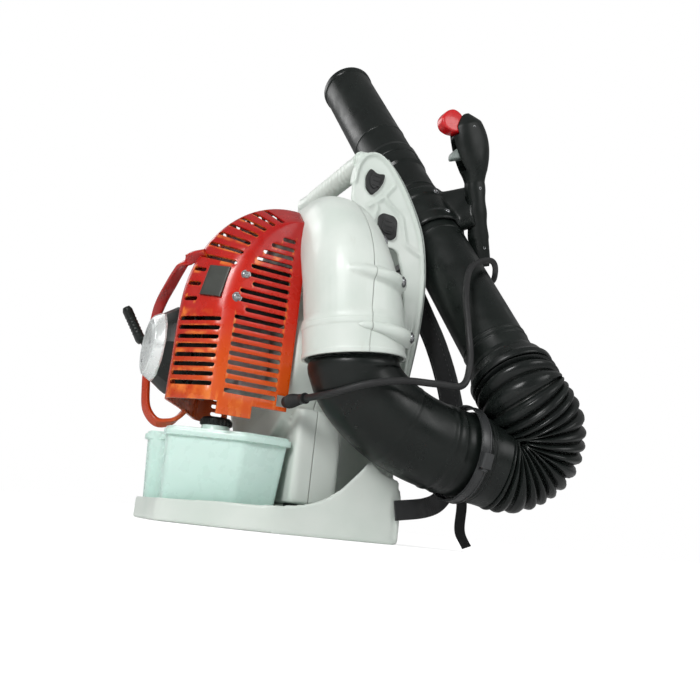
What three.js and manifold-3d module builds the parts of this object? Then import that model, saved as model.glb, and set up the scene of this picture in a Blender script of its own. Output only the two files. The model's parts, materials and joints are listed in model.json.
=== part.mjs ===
// Backpack leaf blower, millimetres.
// X is the wearer's right, Y is forward (towards the wearer's back), Z is up.
// The origin is on the underside of the base, under the engine and fan unit.
import * as THREE from 'three';
import { mergeVertices } from 'three/addons/utils/BufferGeometryUtils.js';
import Module from 'manifold-3d';

const wasm = await Module();
wasm.setup();

// ---------------------------------------------------------------- driving dimensions
const GAP = 0.3;                       // clearance between touching pieces
const V = (x, y, z) => new THREE.Vector3(x, y, z);

const BASE = { halfWidth: 150, rear: -116, front: 160, wall: 4, floor: 5 };
const PLATE = { halfWidth: 104, thickness: 5, topZ: 527, sheetTopZ: 440 };
const HANDLE = { y: 84, z: 507, width: 30, height: 34 };
const AXIS = { x: 0, z: 213 };         // crankshaft and fan axis, parallel to Y
const FAN = {
  rearY: 12, frontY: 90, splitY: 52, drumRadius: 114, wall: 3, intakeRadius: 84, rotorRadius: 100,
};
const SHROUD = {
  halfWidth: 116, frontY: 8, bottomZ: 141, springZ: 255, wall: 3, slotPitch: 11.2, slotHeight: 5,
};
const STARTER = { radius: 58, discRadius: 37, rimY: -115, faceY: -143, rootY: -62 };
const TANK = { bottomZ: 5.4, lipZ: 102, topZ: 111, taper: 0.86, shoulder: 0.975, wall: 3, middleY: -45 };
const ELBOW = { radius: 53, wall: 3 };
const HOSE = { radius: 56, wall: 9 };
const TUBE = { radius: 43.5, wall: 2.5, length: 450, nozzleLength: 259 };
const CABLE = { radius: 4.2 };
const STRAP = { width: 44, thickness: 10, webWidth: 24, webThickness: 3 };

// The tube's lower end and the direction in which it leans across the back plate.
const tubeFoot = V(206.4, 278.3, 215.2);
const tubeDirection = V(-0.5406, -0.1562, 0.8266).normalize();
// The grip beside the tube, from its foot to the crown of its head.
const gripPath = [V(86, 303, 412), V(104, 276, 486), V(114, 259, 545), V(120, 243, 590), V(122, 226, 622)];

const COLOURS = {
  shell: { color: 0xdfe8e2, roughness: 0.45, metalness: 0 },
  orange: { color: 0xd8260c, roughness: 0.35, metalness: 0 },
  black: { color: 0x15181a, roughness: 0.55, metalness: 0 },
  rubber: { color: 0x1c1e20, roughness: 0.85, metalness: 0 },
  tank: { color: 0xc6e6db, roughness: 0.3, metalness: 0 },
  metal: { color: 0xa8acb0, roughness: 0.4, metalness: 0.9 },
  steel: { color: 0xc8ccd0, roughness: 0.25, metalness: 1 },
  grey: { color: 0x7d8a84, roughness: 0.5, metalness: 0 },
  red: { color: 0xc8101a, roughness: 0.35, metalness: 0 },
  fabric: { color: 0x1b1d1e, roughness: 0.95, metalness: 0 },
  paper: { color: 0xd8d2b0, roughness: 0.9, metalness: 0 },
};

// ---------------------------------------------------------------- helpers
// A closed geometry with merged corners and its faces pointing out.
function closed(geometry) {
  const bare = geometry.clone();
  bare.deleteAttribute('normal');
  bare.deleteAttribute('uv');
  const merged = mergeVertices(bare, 1e-4);
  const position = merged.attributes.position;
  const index = Array.from(merged.index.array);
  const [a, b, c] = [V(), V(), V()];
  const faces = [];
  let volume = 0;
  for (let i = 0; i < index.length; i += 3) {
    const [i0, i1, i2] = index.slice(i, i + 3);
    if (i0 === i1 || i1 === i2 || i2 === i0) continue;
    faces.push(i0, i1, i2);
    volume += a.fromBufferAttribute(position, i0)
      .dot(b.fromBufferAttribute(position, i1).cross(c.fromBufferAttribute(position, i2)));
  }
  if (volume < 0) {
    for (let i = 0; i < faces.length; i += 3) [faces[i], faces[i + 1]] = [faces[i + 1], faces[i]];
  }
  merged.setIndex(faces);
  return merged;
}

function solid(geometry) {
  const body = closed(geometry);
  return new wasm.Manifold(new wasm.Mesh({
    numProp: 3,
    vertProperties: new Float32Array(body.attributes.position.array),
    triVerts: new Uint32Array(body.index.array),
  }));
}

function toGeometry(manifold) {
  const mesh = manifold.getMesh();
  const geometry = new THREE.BufferGeometry();
  geometry.setAttribute('position', new THREE.BufferAttribute(new Float32Array(mesh.vertProperties), 3));
  geometry.setIndex(new THREE.BufferAttribute(new Uint32Array(mesh.triVerts), 1));
  return geometry;
}

const union = (...bodies) => bodies.reduce((sum, body) => sum.add(body));
const cut = (body, ...tools) => tools.reduce((rest, tool) => rest.subtract(tool), body);
const common = (...bodies) => bodies.reduce((sum, body) => sum.intersect(body));

function box(x0, x1, y0, y1, z0, z1) {
  const geometry = new THREE.BoxGeometry(x1 - x0, y1 - y0, z1 - z0);
  geometry.translate((x0 + x1) / 2, (y0 + y1) / 2, (z0 + z1) / 2);
  return solid(geometry);
}

function extruded(points, depth) {
  const shape = new THREE.Shape(points.map(([u, v]) => new THREE.Vector2(u, v)));
  return new THREE.ExtrudeGeometry(shape, { depth, bevelEnabled: false });
}

// Prisms with their outline given as (y, z), (x, z) and (x, y) pairs.
function prismX(points, x0, x1) {
  const geometry = extruded(points, x1 - x0);
  geometry.applyMatrix4(new THREE.Matrix4().makeBasis(V(0, 1, 0), V(0, 0, 1), V(1, 0, 0)));
  geometry.translate(x0, 0, 0);
  return solid(geometry);
}

function prismY(points, y0, y1) {
  const geometry = extruded(points, y1 - y0);
  geometry.applyMatrix4(new THREE.Matrix4().makeBasis(V(1, 0, 0), V(0, 0, 1), V(0, -1, 0)));
  geometry.translate(0, y1, 0);
  return solid(geometry);
}

function prismZ(points, z0, z1) {
  const geometry = extruded(points, z1 - z0);
  geometry.translate(0, 0, z0);
  return solid(geometry);
}

const mirrored = (points) => [...points, ...points.slice().reverse().map(([x, z]) => [-x, z])];

// A round piece about a line through `origin`; the profile is (radius, distance along `axis`).
function turned(profile, origin, axis, sides = 28) {
  const ring = [...profile, profile[0]].map(([r, s]) => new THREE.Vector2(Math.max(r, 0), s));
  const geometry = new THREE.LatheGeometry(ring, sides);
  const turn = new THREE.Quaternion().setFromUnitVectors(V(0, 1, 0), axis.clone().normalize());
  geometry.applyQuaternion(turn);
  geometry.translate(origin.x, origin.y, origin.z);
  return solid(geometry);
}

const alongY = V(0, 1, 0);
const alongZ = V(0, 0, 1);
const onAxis = V(AXIS.x, 0, AXIS.z);
const disc = (radius, s0, s1) => [[0, s0], [radius, s0], [radius, s1], [0, s1]];
const ringProfile = (inner, outer, s0, s1) => [[inner, s0], [outer, s0], [outer, s1], [inner, s1]];

// A closed body swept along a curve. `section(t)` gives its two half sizes, `across` the
// direction that the first of them lies nearest to.
function swept(curve, section, across, sides = 16, steps = 12) {
  const geometry = new THREE.CylinderGeometry(1, 1, 1, sides, steps);
  const position = geometry.attributes.position;
  for (let i = 0; i < position.count; i += 1) {
    const t = Math.min(Math.max(position.getY(i) + 0.5, 0), 1);
    const tangent = curve.getTangentAt(t);
    const u = across.clone().addScaledVector(tangent, -across.dot(tangent)).normalize();
    const v = u.clone().cross(tangent);
    const [a, b] = section(t);
    const point = curve.getPointAt(t)
      .addScaledVector(u, position.getX(i) * a)
      .addScaledVector(v, position.getZ(i) * b);
    position.setXYZ(i, point.x, point.y, point.z);
  }
  return solid(geometry);
}

// The same with four flat sides, for straps and strips.
function strip(points, width, thickness, across, steps = 12) {
  const curve = new THREE.CatmullRomCurve3(points);
  const geometry = new THREE.BoxGeometry(1, 1, 1, 1, steps, 1);
  const position = geometry.attributes.position;
  for (let i = 0; i < position.count; i += 1) {
    const t = Math.min(Math.max(position.getY(i) + 0.5, 0), 1);
    const tangent = curve.getTangentAt(t);
    const aim = across(t);
    const u = aim.addScaledVector(tangent, -aim.dot(tangent)).normalize();
    const v = u.clone().cross(tangent);
    const point = curve.getPointAt(t)
      .addScaledVector(u, position.getX(i) * width)
      .addScaledVector(v, position.getZ(i) * thickness);
    position.setXYZ(i, point.x, point.y, point.z);
  }
  return solid(geometry);
}

// A round tube along a curve; an inner radius makes it an open pipe.
function tubeAlong(points, radius, inner = 0, sides = 24, steps = 20) {
  const shape = new THREE.Shape().absarc(0, 0, radius, 0, 2 * Math.PI);
  if (inner > 0) shape.holes.push(new THREE.Path().absarc(0, 0, inner, 0, 2 * Math.PI, true));
  const geometry = new THREE.ExtrudeGeometry(shape, {
    steps, curveSegments: sides, bevelEnabled: false, extrudePath: new THREE.CatmullRomCurve3(points),
  });
  return solid(geometry);
}

const root = new THREE.Group();
function piece(name, body, look, parent = root) {
  const geometry = toGeometry(body);
  const mesh = new THREE.Mesh(geometry, new THREE.MeshStandardMaterial({ ...COLOURS[look] }));
  mesh.name = name;
  parent.add(mesh);
  return mesh;
}

// ---------------------------------------------------------------- base and back plate
// One L-shaped moulding: a tray with low side walls that sweep up at the front, an upright
// sheet against the wearer's back, two flanks at its top and the carry handle between them.
function backPlate() {
  const { halfWidth, rear, front, wall, floor } = BASE;
  const armrest = [
    [rear - 4, 0], [rear - 4, 26], [-60, 30], [10, 34], [50, 44], [82, 64], [112, 94],
    [130, 80], [front, 74], [front, 0],
  ];
  // The tray narrows at the rear to follow the tank.
  const rearHalf = 56;
  const trayPlan = mirrored([
    [halfWidth, front], [halfWidth, -4], [130, -44], [rearHalf + 8, rear + 4], [rearHalf, rear],
  ]);
  const inset = 1 - wall / halfWidth;
  const innerPlan = trayPlan.map(([x, y]) => [x * inset, y < 0 ? y + wall : y + 20]);
  const tray = common(prismX(armrest, -halfWidth, halfWidth), prismZ(trayPlan, 0, 260));
  const trayHollow = prismZ(innerPlan, floor, 300);

  const sheetFront = [
    [front, 0], [front, 120], [170, 200], [182, 280], [186, 340], [183, 390], [172, PLATE.sheetTopZ],
  ];
  const sheetRear = sheetFront.slice().reverse().map(([y, z]) => [y - PLATE.thickness, z]);
  const sheetOutline = mirrored([
    [halfWidth, 0], [halfWidth, 62], [120, 80], [117, 200], [PLATE.halfWidth, 310],
    [PLATE.halfWidth, PLATE.sheetTopZ],
  ]);
  const curved = prismX([...sheetFront, ...sheetRear], -halfWidth, halfWidth);
  const sheet = common(curved, prismY(sheetOutline, 100, 220));

  const flank = [
    [158, 190], [170, 260], [162, 350], [148, 391], [94, 391], [92, 426], [70, 440], [70, 473],
    [75, 500], [88, 521], [103, PLATE.topZ], [118, 520], [142, 496], [164, 465], [183, 427],
    [192, 390], [196, 340], [192, 280], [180, 200],
  ];
  const flanks = [PLATE.halfWidth - 6, -PLATE.halfWidth]
    .map((x) => prismX(flank, x, x + 6));

  const barEnd = (x) => V(x, HANDLE.y, HANDLE.z);
  const bar = new THREE.LineCurve3(barEnd(PLATE.halfWidth - 1), barEnd(1 - PLATE.halfWidth));
  const handle = swept(bar, () => [HANDLE.width / 2, HANDLE.height / 2], alongY, 16, 1);
  return union(cut(tray, trayHollow), sheet, ...flanks, handle);
}
piece('back_plate', backPlate(), 'shell');

// Rubber pads let into the outer face of each flank.
function flankInsert(side, outline) {
  const inner = side * (PLATE.halfWidth + GAP);
  const outer = side * (PLATE.halfWidth + 4);
  return prismX(outline, Math.min(inner, outer), Math.max(inner, outer));
}
const upperInsert = [
  [88, 466], [86, 484], [92, 498], [104, 492], [116, 496], [114, 482], [108, 470], [98, 458],
];
const lowerInsert = [
  [112, 408], [112, 432], [118, 438], [136, 438], [142, 432], [142, 408], [136, 402], [118, 402],
];
for (const [side, word] of [[1, 'right'], [-1, 'left']]) {
  piece(`flank_insert_upper_${word}`, flankInsert(side, upperInsert), 'rubber');
  piece(`flank_insert_lower_${word}`, flankInsert(side, lowerInsert), 'rubber');
}

// Rubber buffers carry the fan housing's foot on the floor of the tray.
[[-86, 44], [86, 44], [-86, 78], [86, 78]].forEach(([x, y], i) => {
  const profile = [[0, 5.3], [12, 5.3], [12, 10], [9, 16], [9, 25], [12, 31], [12, 35.7], [0, 35.7]];
  piece(`buffer_${i + 1}`, turned(profile, V(x, y, 0), alongZ, 16), 'rubber');
});

// ---------------------------------------------------------------- engine shroud
// Stations across the dome: place along X, depth of its wall behind the front edge, and how high it
// arches above the spring line. The right side is a flat face with a broad chamfer behind it.
const domeStations = [
  [116, 94, 131], [72, 136, 163], [56, 134, 163], [0, 103, 163], [-60, 73, 155], [-104, 52, 135], [-116, 36, 110],
];

function domeAt(x) {
  const next = domeStations.findIndex(([edge], i) => i > 0 && edge <= x);
  const last = next < 0 ? domeStations.length - 1 : next;
  const [[x0, depth0, rise0], [x1, depth1, rise1]] = [domeStations[last - 1], domeStations[last]];
  const t = (x - x0) / (x1 - x0);
  return [depth0 + (depth1 - depth0) * t, rise0 + (rise1 - rise0) * t];
}

// The arch is a quarter of an ellipse over an upright wall.
function domeSpan(index, inset) {
  const { halfWidth, frontY, springZ } = SHROUD;
  const arch = Array.from({ length: 7 }, (_, i) => [Math.cos(i * Math.PI / 12), Math.sin(i * Math.PI / 12)]);
  const outline = [[0, -1], [1, -1], ...arch].map(([back, up]) => [-back, up]);
  const [from, to] = domeStations.slice(index, index + 2);
  const geometry = extruded(outline, 1);
  const position = geometry.attributes.position;
  const limit = (x) => Math.sign(x) * Math.min(Math.abs(x), halfWidth - inset);
  for (let i = 0; i < position.count; i += 1) {
    const x = limit(position.getZ(i) > 0.5 ? from[0] : to[0]);
    const [depth, rise] = domeAt(x);
    const up = position.getY(i);
    const z = up < 0 ? 100 : springZ + up * (rise - inset);
    position.setXYZ(i, x, frontY + position.getX(i) * (depth - inset), z);
  }
  return solid(geometry);
}
const dome = (inset) => union(...domeStations.slice(1).map((_, index) => domeSpan(index, inset)));

// A cooling slot across the chamfer; `turn` is 0 on the upright wall and grows over the arch.
function chamferSlot(turn, height) {
  const { frontY, springZ, slotHeight } = SHROUD;
  const [inner, outer] = domeStations.slice(0, 2).map(([x, depth, rise]) => (
    V(x, frontY - depth * Math.cos(turn), (turn > 0 ? springZ : height) + rise * Math.sin(turn))));
  const along = outer.clone().sub(inner);
  const upwards = V(0, Math.sin(turn), Math.cos(turn));
  const out = along.clone().cross(upwards).normalize();
  const slot = new THREE.BoxGeometry(along.length() * 0.76, slotHeight, 16);
  const across = along.clone().normalize();
  slot.applyMatrix4(new THREE.Matrix4().makeBasis(across, out.clone().cross(across), out));
  const middle = inner.add(outer).multiplyScalar(0.5);
  return solid(slot.translate(middle.x, middle.y, middle.z));
}

function engineShroud() {
  const { bottomZ, wall, halfWidth, slotPitch, slotHeight, frontY, springZ } = SHROUD;
  const skirt = common(dome(0), box(60, 130, -78, -36, 126, bottomZ + 1));
  const outer = union(cut(dome(0), box(-200, 200, -200, 200, 0, bottomZ)), skirt);
  const shell = cut(outer, union(dome(wall), box(-100, 100, -60, 20, 100, bottomZ + 2)));
  const starterHole = turned(disc(STARTER.radius + 1.5, -160, -30), onAxis, alongY, 28);
  const cable = box(104, 130, -6, 20, 146, 160);
  const slots = [];
  const sideRows = 19;
  const [, sideDepth, sideRise] = domeStations[0];
  for (let i = 0; i < sideRows; i += 1) {
    const z = 152 + i * slotPitch;
    const lift = Math.max(0, z + slotHeight - springZ) / (sideRise - 16);
    const rear = frontY - (sideDepth - 12) * Math.sqrt(Math.max(0, 1 - lift * lift));
    slots.push(box(halfWidth - 8, halfWidth + 8, Math.min(rear, -20), -8, z, z + slotHeight));
    slots.push(box(-halfWidth - 8, 8 - halfWidth, -18, 0, z, z + slotHeight));
  }
  const uprightRows = 9;
  const archRows = 9;
  for (let i = 0; i < uprightRows; i += 1) slots.push(chamferSlot(0, 156 + i * slotPitch));
  for (let i = 0; i < archRows; i += 1) slots.push(chamferSlot(0.06 + i * 0.13, 0));
  return cut(shell, starterHole, cable, ...slots);
}
piece('engine_shroud', engineShroud(), 'orange');

// ---------------------------------------------------------------- fan and its housing
// Stations of the scroll from its outlet backwards: centre, then half size across and along the axis.
const scrollStations = [
  [170, 64, 212, 56, 56], [170, 57, 266, 58, 58], [161, 46, 322, 57, 52], [118, 46, 376, 53, 46],
  [48, 52, 396, 50, 43], [-36, 52, 382, 47, 42], [-108, 52, 322, 42, 41], [-132, 52, 236, 37, 39],
  [-108, 53, 158, 33, 38], [-48, 54, 116, 29, 37], [24, 54, 114, 27, 36], [80, 54, 146, 24, 35],
];
function scroll(shrink, extension) {
  const centres = scrollStations.map(([x, y, z]) => V(x, y, z));
  const sizes = scrollStations.map(([, , , a, b]) => V(a, b, 0));
  if (extension > 0) {
    centres.unshift(V(170, 65, scrollStations[0][2] - extension));
    sizes.unshift(sizes[0]);
  }
  const path = new THREE.CatmullRomCurve3(centres);
  const sizeCurve = new THREE.CatmullRomCurve3(sizes);
  // Equal curve parameters keep each size at its own station.
  const byStation = { getPointAt: (t) => path.getPoint(t), getTangentAt: (t) => path.getTangent(t) };
  const section = (t) => {
    const size = sizeCurve.getPoint(t);
    return [size.y - shrink, size.x - shrink];
  };
  return swept(byStation, section, alongY, 16, 18);
}

function fanHousing() {
  const { rearY, frontY, drumRadius, wall, intakeRadius } = FAN;
  const drum = turned(disc(drumRadius, rearY, frontY), onAxis, alongY, 28);
  const foot = box(-112, 112, 28, frontY, 36, 150);
  const outer = union(drum, scroll(0, 0), foot);
  const chamber = turned(disc(drumRadius - wall, rearY + wall, frontY - wall), onAxis, alongY, 28);
  const footHollow = box(-108, 108, 32, 88, 30, 66);
  const intake = turned(disc(intakeRadius, frontY - 10, frontY + 20), onAxis, alongY, 28);
  const shaftHole = turned(disc(13, rearY - 10, rearY + 10), onAxis, alongY, 16);
  // The shroud laps over the rear of the duct.
  const shroudRoom = dome(-GAP);
  return cut(outer, union(chamber, scroll(wall, 8)), footHollow, intake, shaftHole, shroudRoom);
}
const housing = fanHousing();
const reach = 400;
const rearHalfSpace = box(-reach, reach, -reach, FAN.splitY - GAP, 0, reach * 2);
const frontHalfSpace = box(-reach, reach, FAN.splitY, reach, 0, reach * 2);
piece('fan_housing_rear', common(housing, rearHalfSpace), 'shell');
piece('fan_housing_front', common(housing, frontHalfSpace), 'shell');

const outletAxis = V(0, -6, 48).normalize();
const outletEnd = V(170, 64.4, 208);
const collarRing = turned(ringProfile(59, 63, 0, 40), outletEnd, outletAxis, 28);
const drumRoom = turned(disc(FAN.drumRadius + GAP, 0, 110), onAxis, alongY, 28);
piece('outlet_collar', cut(collarRing, drumRoom), 'shell');

function intakeGrille() {
  const rim = turned(ringProfile(86, 102, 90.8, 100), onAxis, alongY, 28);
  const rings = [34, 60].map((r) => turned(ringProfile(r, r + 5, 94, 98), onAxis, alongY, 20));
  const hub = turned(disc(12, 94, 98), onAxis, alongY, 12);
  const spokes = [0, 1, 2, 3, 4, 5].map((i) => {
    const bar = new THREE.BoxGeometry(80, 3.6, 5).translate(48, 96, 0).rotateY(i * Math.PI / 3);
    return solid(bar.translate(AXIS.x, 0, AXIS.z));
  });
  return union(rim, hub, ...rings, ...spokes);
}
piece('intake_grille', intakeGrille(), 'black');

function impeller() {
  const { rotorRadius } = FAN;
  const bladeCount = 10;
  const hub = turned([
    [8.3, 22], [26, 22], [26, 26], [rotorRadius, 26], [rotorRadius, 29], [30, 29], [20, 60], [8.3, 60],
  ], onAxis, alongY, 24);
  const ringSection = [[76, 68], [rotorRadius, 60], [rotorRadius, 62.5], [76, 70.5]];
  const shroudRing = turned(ringSection, onAxis, alongY, 24);
  const blade = [[38, 0], [66, 11], [rotorRadius - 2, 12], [rotorRadius - 2, 14.5], [66, 14], [38, 3]];
  const blades = Array.from({ length: bladeCount }, (_, i) => {
    const vane = extruded(blade, 34).rotateX(Math.PI / 2).translate(0, 61, 0);
    return solid(vane.rotateY(2 * Math.PI * i / bladeCount).translate(AXIS.x, 0, AXIS.z));
  });
  const bladeRoom = [[0, 27], [rotorRadius, 27], [rotorRadius, 61], [76, 69], [0, 69]];
  const envelope = turned(bladeRoom, onAxis, alongY, 24);
  return union(hub, shroudRing, ...blades.map((vane) => vane.intersect(envelope)));
}
piece('impeller', impeller(), 'grey');

// ---------------------------------------------------------------- starter guard
// A strip that loops round the starter: over its top, down its left side and back under the engine.
const guardPath = [
  V(48, -127.5, 318), V(24, -127, 311), V(-8, -128, 300), V(-42, -129, 285), V(-68, -129, 262), V(-72, -128, 215),
  V(-70, -125, 172), V(-66, -119, 140), V(-58, -106, 125), V(-48, -94, 125), V(-40, -89, 134.5),
];
const guardSection = () => [6, 3.4];
const guard = swept(new THREE.CatmullRomCurve3(guardPath), guardSection, V(1, 0.3, 0.4), 8, 20);
piece('starter_guard', guard, 'orange');

// ---------------------------------------------------------------- recoil starter
function starterCover() {
  const { radius, discRadius, rimY, faceY, rootY } = STARTER;
  const outer = [[0, faceY], [discRadius + 1, faceY], [radius, rimY], [radius, rootY], [0, rootY]];
  const inner = [
    [0, faceY + 3], [discRadius - 1, faceY + 3], [radius - 3, rimY + 2], [radius - 3, rootY + 5], [0, rootY + 5],
  ];
  const ropeHole = box(-51, -39, -150, -120, 194, 226);
  return cut(turned(outer, onAxis, alongY, 12), turned(inner, onAxis, alongY, 12), ropeHole,
    turned(disc(9, -150, -130), onAxis, alongY, 12));
}
piece('starter_cover', starterCover(), 'black');
const discProfile = [
  [0, -147], [30, -147], [STARTER.discRadius, -145.5], [STARTER.discRadius, -143.3], [0, -143.3],
];
piece('starter_disc', turned(discProfile, onAxis, alongY, 32), 'steel');
const reelProfile = [[9, -112], [36, -112], [36, -110], [28, -109], [28, -101], [36, -100], [36, -98], [9, -98]];
piece('starter_reel', turned(reelProfile, onAxis, alongY, 18), 'grey');

const ropeRoot = V(-45, -137, 212);
const ropeDirection = V(0, -0.55, 0.835).normalize();
const along = (distance) => ropeRoot.clone().addScaledVector(ropeDirection, distance);
const ropeSection = () => [1.8, 1.8];
piece('starter_rope', swept(new THREE.LineCurve3(along(-12), along(13.7)), ropeSection, V(1, 0, 0), 8, 1), 'fabric');
const gripWaist = (t) => [9 - 3 * Math.sin(Math.PI * t), 6];
piece('starter_grip', swept(new THREE.LineCurve3(along(14), along(66)), gripWaist, V(1, 0, 0), 12, 6), 'black');

// ---------------------------------------------------------------- engine
const CYLINDER = { x: 6, y: -32, bore: 21, fin: 30, z0: 255, z1: 344 };
const shaftProfile = [[0, -96], [7, -96], [7, -50], [20, -50], [20, -42], [8, -42], [8, 74], [0, 74]];
piece('crankshaft', turned(shaftProfile, onAxis, alongY, 16), 'metal');
const flywheelProfile = [
  [7.3, -92], [48, -92], [50, -88], [50, -70], [44, -70], [44, -78], [16, -78], [16, -72], [7.3, -72],
];
piece('flywheel', turned(flywheelProfile, onAxis, alongY, 20), 'metal');
function crankcase() {
  const outer = box(-34, 40, -58, 4, 178, CYLINDER.z0 - GAP);
  const feet = box(-60, 66, -40, 4, 170, 180);
  const shaftRoom = [[0, -59], [9, -59], [9, -54], [24, -54], [24, -38], [10, -38], [10, 9], [0, 9]];
  const hollow = turned(shaftRoom, onAxis, alongY, 20);
  const mouth = turned(disc(CYLINDER.bore, 225, 262), V(CYLINDER.x, CYLINDER.y, 0), alongZ, 12);
  return cut(union(outer, feet), hollow, mouth);
}
piece('crankcase', crankcase(), 'metal');
function cylinder() {
  const { bore, fin, z0, z1 } = CYLINDER;
  const profile = [[bore + 0.4, z0], [fin, z0], [fin, z0 + 5]];
  const finCount = 5;
  const pitch = 14.5;
  for (let i = 0; i < finCount; i += 1) {
    const z = z0 + 9 + i * pitch;
    profile.push([bore + 5, z - 3], [bore + 5, z], [fin, z], [fin, z + 2.5], [bore + 5, z + 2.5]);
  }
  profile.push([7, z1], [7, z1 - 8], [bore + 0.4, z1 - 12]);
  return turned(profile, V(CYLINDER.x, CYLINDER.y, 0), alongZ, 12);
}
piece('cylinder', cylinder(), 'metal');
const onCylinder = V(CYLINDER.x, CYLINDER.y, 0);
const pistonProfile = [[0, 296], [6, 296], [6, 276], [CYLINDER.bore, 276], [CYLINDER.bore, 308], [0, 312]];
piece('piston', turned(pistonProfile, onCylinder, alongZ, 12), 'metal');
const plugProfile = [[0, 338], [5, 338], [6.5, 345], [9.5, 345], [9.5, 352], [6, 353], [5, 368], [0, 368]];
piece('spark_plug', turned(plugProfile, onCylinder, alongZ, 12), 'steel');
const bootProfile = [[6.4, 354], [11, 354], [11, 376], [8, 382], [0, 382], [0, 369], [6.4, 369]];
piece('plug_boot', turned(bootProfile, onCylinder, alongZ, 16), 'rubber');
piece('ignition_coil', box(54, 72, -92, -76, 236, 268), 'black');
function muffler() {
  const can = box(-90, -42, -16, 4, 240, 318);
  const pipe = box(-42.2, -26.5, -14, -2, 268, 284);
  const outlet = box(-86, -70, -12, 0, 317, 330);
  return union(can, pipe, outlet);
}
piece('muffler', muffler(), 'metal');
function carburettor() {
  const block = box(50, 76, -50, -16, 262, 300);
  const intake = turned(disc(11, 37, 51), V(0, -33, 280), V(1, 0, 0), 16);
  return union(block, intake);
}
piece('carburettor', carburettor(), 'metal');
piece('air_filter_element', box(76.4, 88, -56, -8, 256, 322), 'paper');
piece('air_filter_cover', cut(box(76.4, 98, -62, -2, 250, 328), box(70, 93, -58.4, -5.6, 253, 325)), 'black');

// Starting controls on the left, under the edge of the shroud.
const PRIMER = { y: 2.5, z: 128, stem: 4 };
const primerStem = turned(disc(PRIMER.stem + 0.6, 100, 120), V(0, PRIMER.y, PRIMER.z), V(-1, 0, 0), 16);
piece('control_panel', cut(box(-112, -106, -14, 8, 118, 138), primerStem), 'black');
piece('choke_lever', union(box(-118, -112.4, -13, -7, 125, 131), box(-124, -118, -13, -7, 108, 131)), 'black');
piece('primer_bulb', turned([[0, 106], [4, 106], [4, 119], [7.5, 119], [7.5, 125], [6, 129], [0, 131]],
  V(0, PRIMER.y, PRIMER.z), V(-1, 0, 0), 16), 'rubber');

// ---------------------------------------------------------------- fuel tank
const tankPlan = [
  [110, 24], [110, -35], [62, -117], [40, -117], [32, -102], [-32, -102], [-40, -117], [-62, -117], [-110, -35],
  [-110, 9], [94, 9], [97, 24],
];
// The plan scaled about the tank's middle, and its walls moved inwards by `shift`.
const scaledPlan = (scale, shift = 0) => tankPlan.map(([x, y]) => {
  const back = y - TANK.middleY;
  return [x * scale - Math.sign(x) * shift, TANK.middleY + back * scale - Math.sign(back) * shift];
});
function taperedTank(shrink, z0, z1) {
  const geometry = extruded(scaledPlan(1, shrink), z1 - z0);
  const position = geometry.attributes.position;
  for (let i = 0; i < position.count; i += 1) {
    const height = position.getZ(i) / (z1 - z0);
    const scale = TANK.taper + (TANK.shoulder - TANK.taper) * height;
    const y = TANK.middleY + (position.getY(i) - TANK.middleY) * scale;
    position.setXYZ(i, position.getX(i) * scale, y, position.getZ(i) + z0);
  }
  return solid(geometry);
}
const FILLER = { x: 70, y: -62, radius: 17 };
const fillerAt = V(FILLER.x, FILLER.y, 0);
function fuelTank() {
  const { bottomZ, lipZ, topZ, wall } = TANK;
  const body = taperedTank(0, bottomZ, lipZ);
  const lid = prismZ(scaledPlan(1), lipZ - 0.5, topZ - 3);
  const crown = prismZ(scaledPlan(0.97), topZ - 4, topZ);
  const neck = turned(disc(FILLER.radius, topZ - 5, topZ + 5), fillerAt, alongZ, 24);
  const hollow = taperedTank(wall, bottomZ + wall, lipZ);
  const filler = turned(disc(FILLER.radius - 3, 60, topZ + 10), fillerAt, alongZ, 24);
  return cut(union(body, lid, crown, neck), hollow, filler);
}
piece('fuel_tank', fuelTank(), 'tank');
const capProfile = [[0, 116.4], [19.5, 116.4], [19.5, 124], [17, 127], [0, 127]];
piece('fuel_cap', turned(capProfile, fillerAt, alongZ, 24), 'black');

// ---------------------------------------------------------------- air path
const elbowPath = [
  V(170, 65.2, 208), V(170, 69, 188), V(172, 98, 158), V(177, 140, 134), V(182, 182, 121), V(184, 218, 116),
];
piece('elbow', tubeAlong(elbowPath, ELBOW.radius, ELBOW.radius - ELBOW.wall, 10, 9), 'black');

const behindFoot = (distance) => tubeFoot.clone().addScaledVector(tubeDirection, -distance);
const hosePath = [V(184.2, 220.5, 115.6), V(186, 250, 111.5), V(195, 286, 108), V(210, 312, 130),
  V(221, 310, 162), behindFoot(24), behindFoot(1.5)];
piece('pleated_hose', tubeAlong(hosePath, HOSE.radius, HOSE.radius - HOSE.wall, 9, 18), 'rubber');

function clampAt(points, position, screwSide) {
  const curve = new THREE.CatmullRomCurve3(points);
  const centre = curve.getPointAt(position);
  const axis = curve.getTangentAt(position);
  const band = turned(ringProfile(HOSE.radius + 2, HOSE.radius + 4, -7, 7), centre, axis, 20);
  const out = screwSide.clone().addScaledVector(axis, -screwSide.dot(axis)).normalize();
  const screwAt = centre.clone().addScaledVector(out, HOSE.radius + 8);
  const housing = turned(disc(6, -12, 12), screwAt, axis.clone().cross(out), 8);
  return union(band, housing);
}
piece('hose_clamp_elbow', clampAt(elbowPath, 0.98, V(1, 0, -0.2)), 'black');

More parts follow.
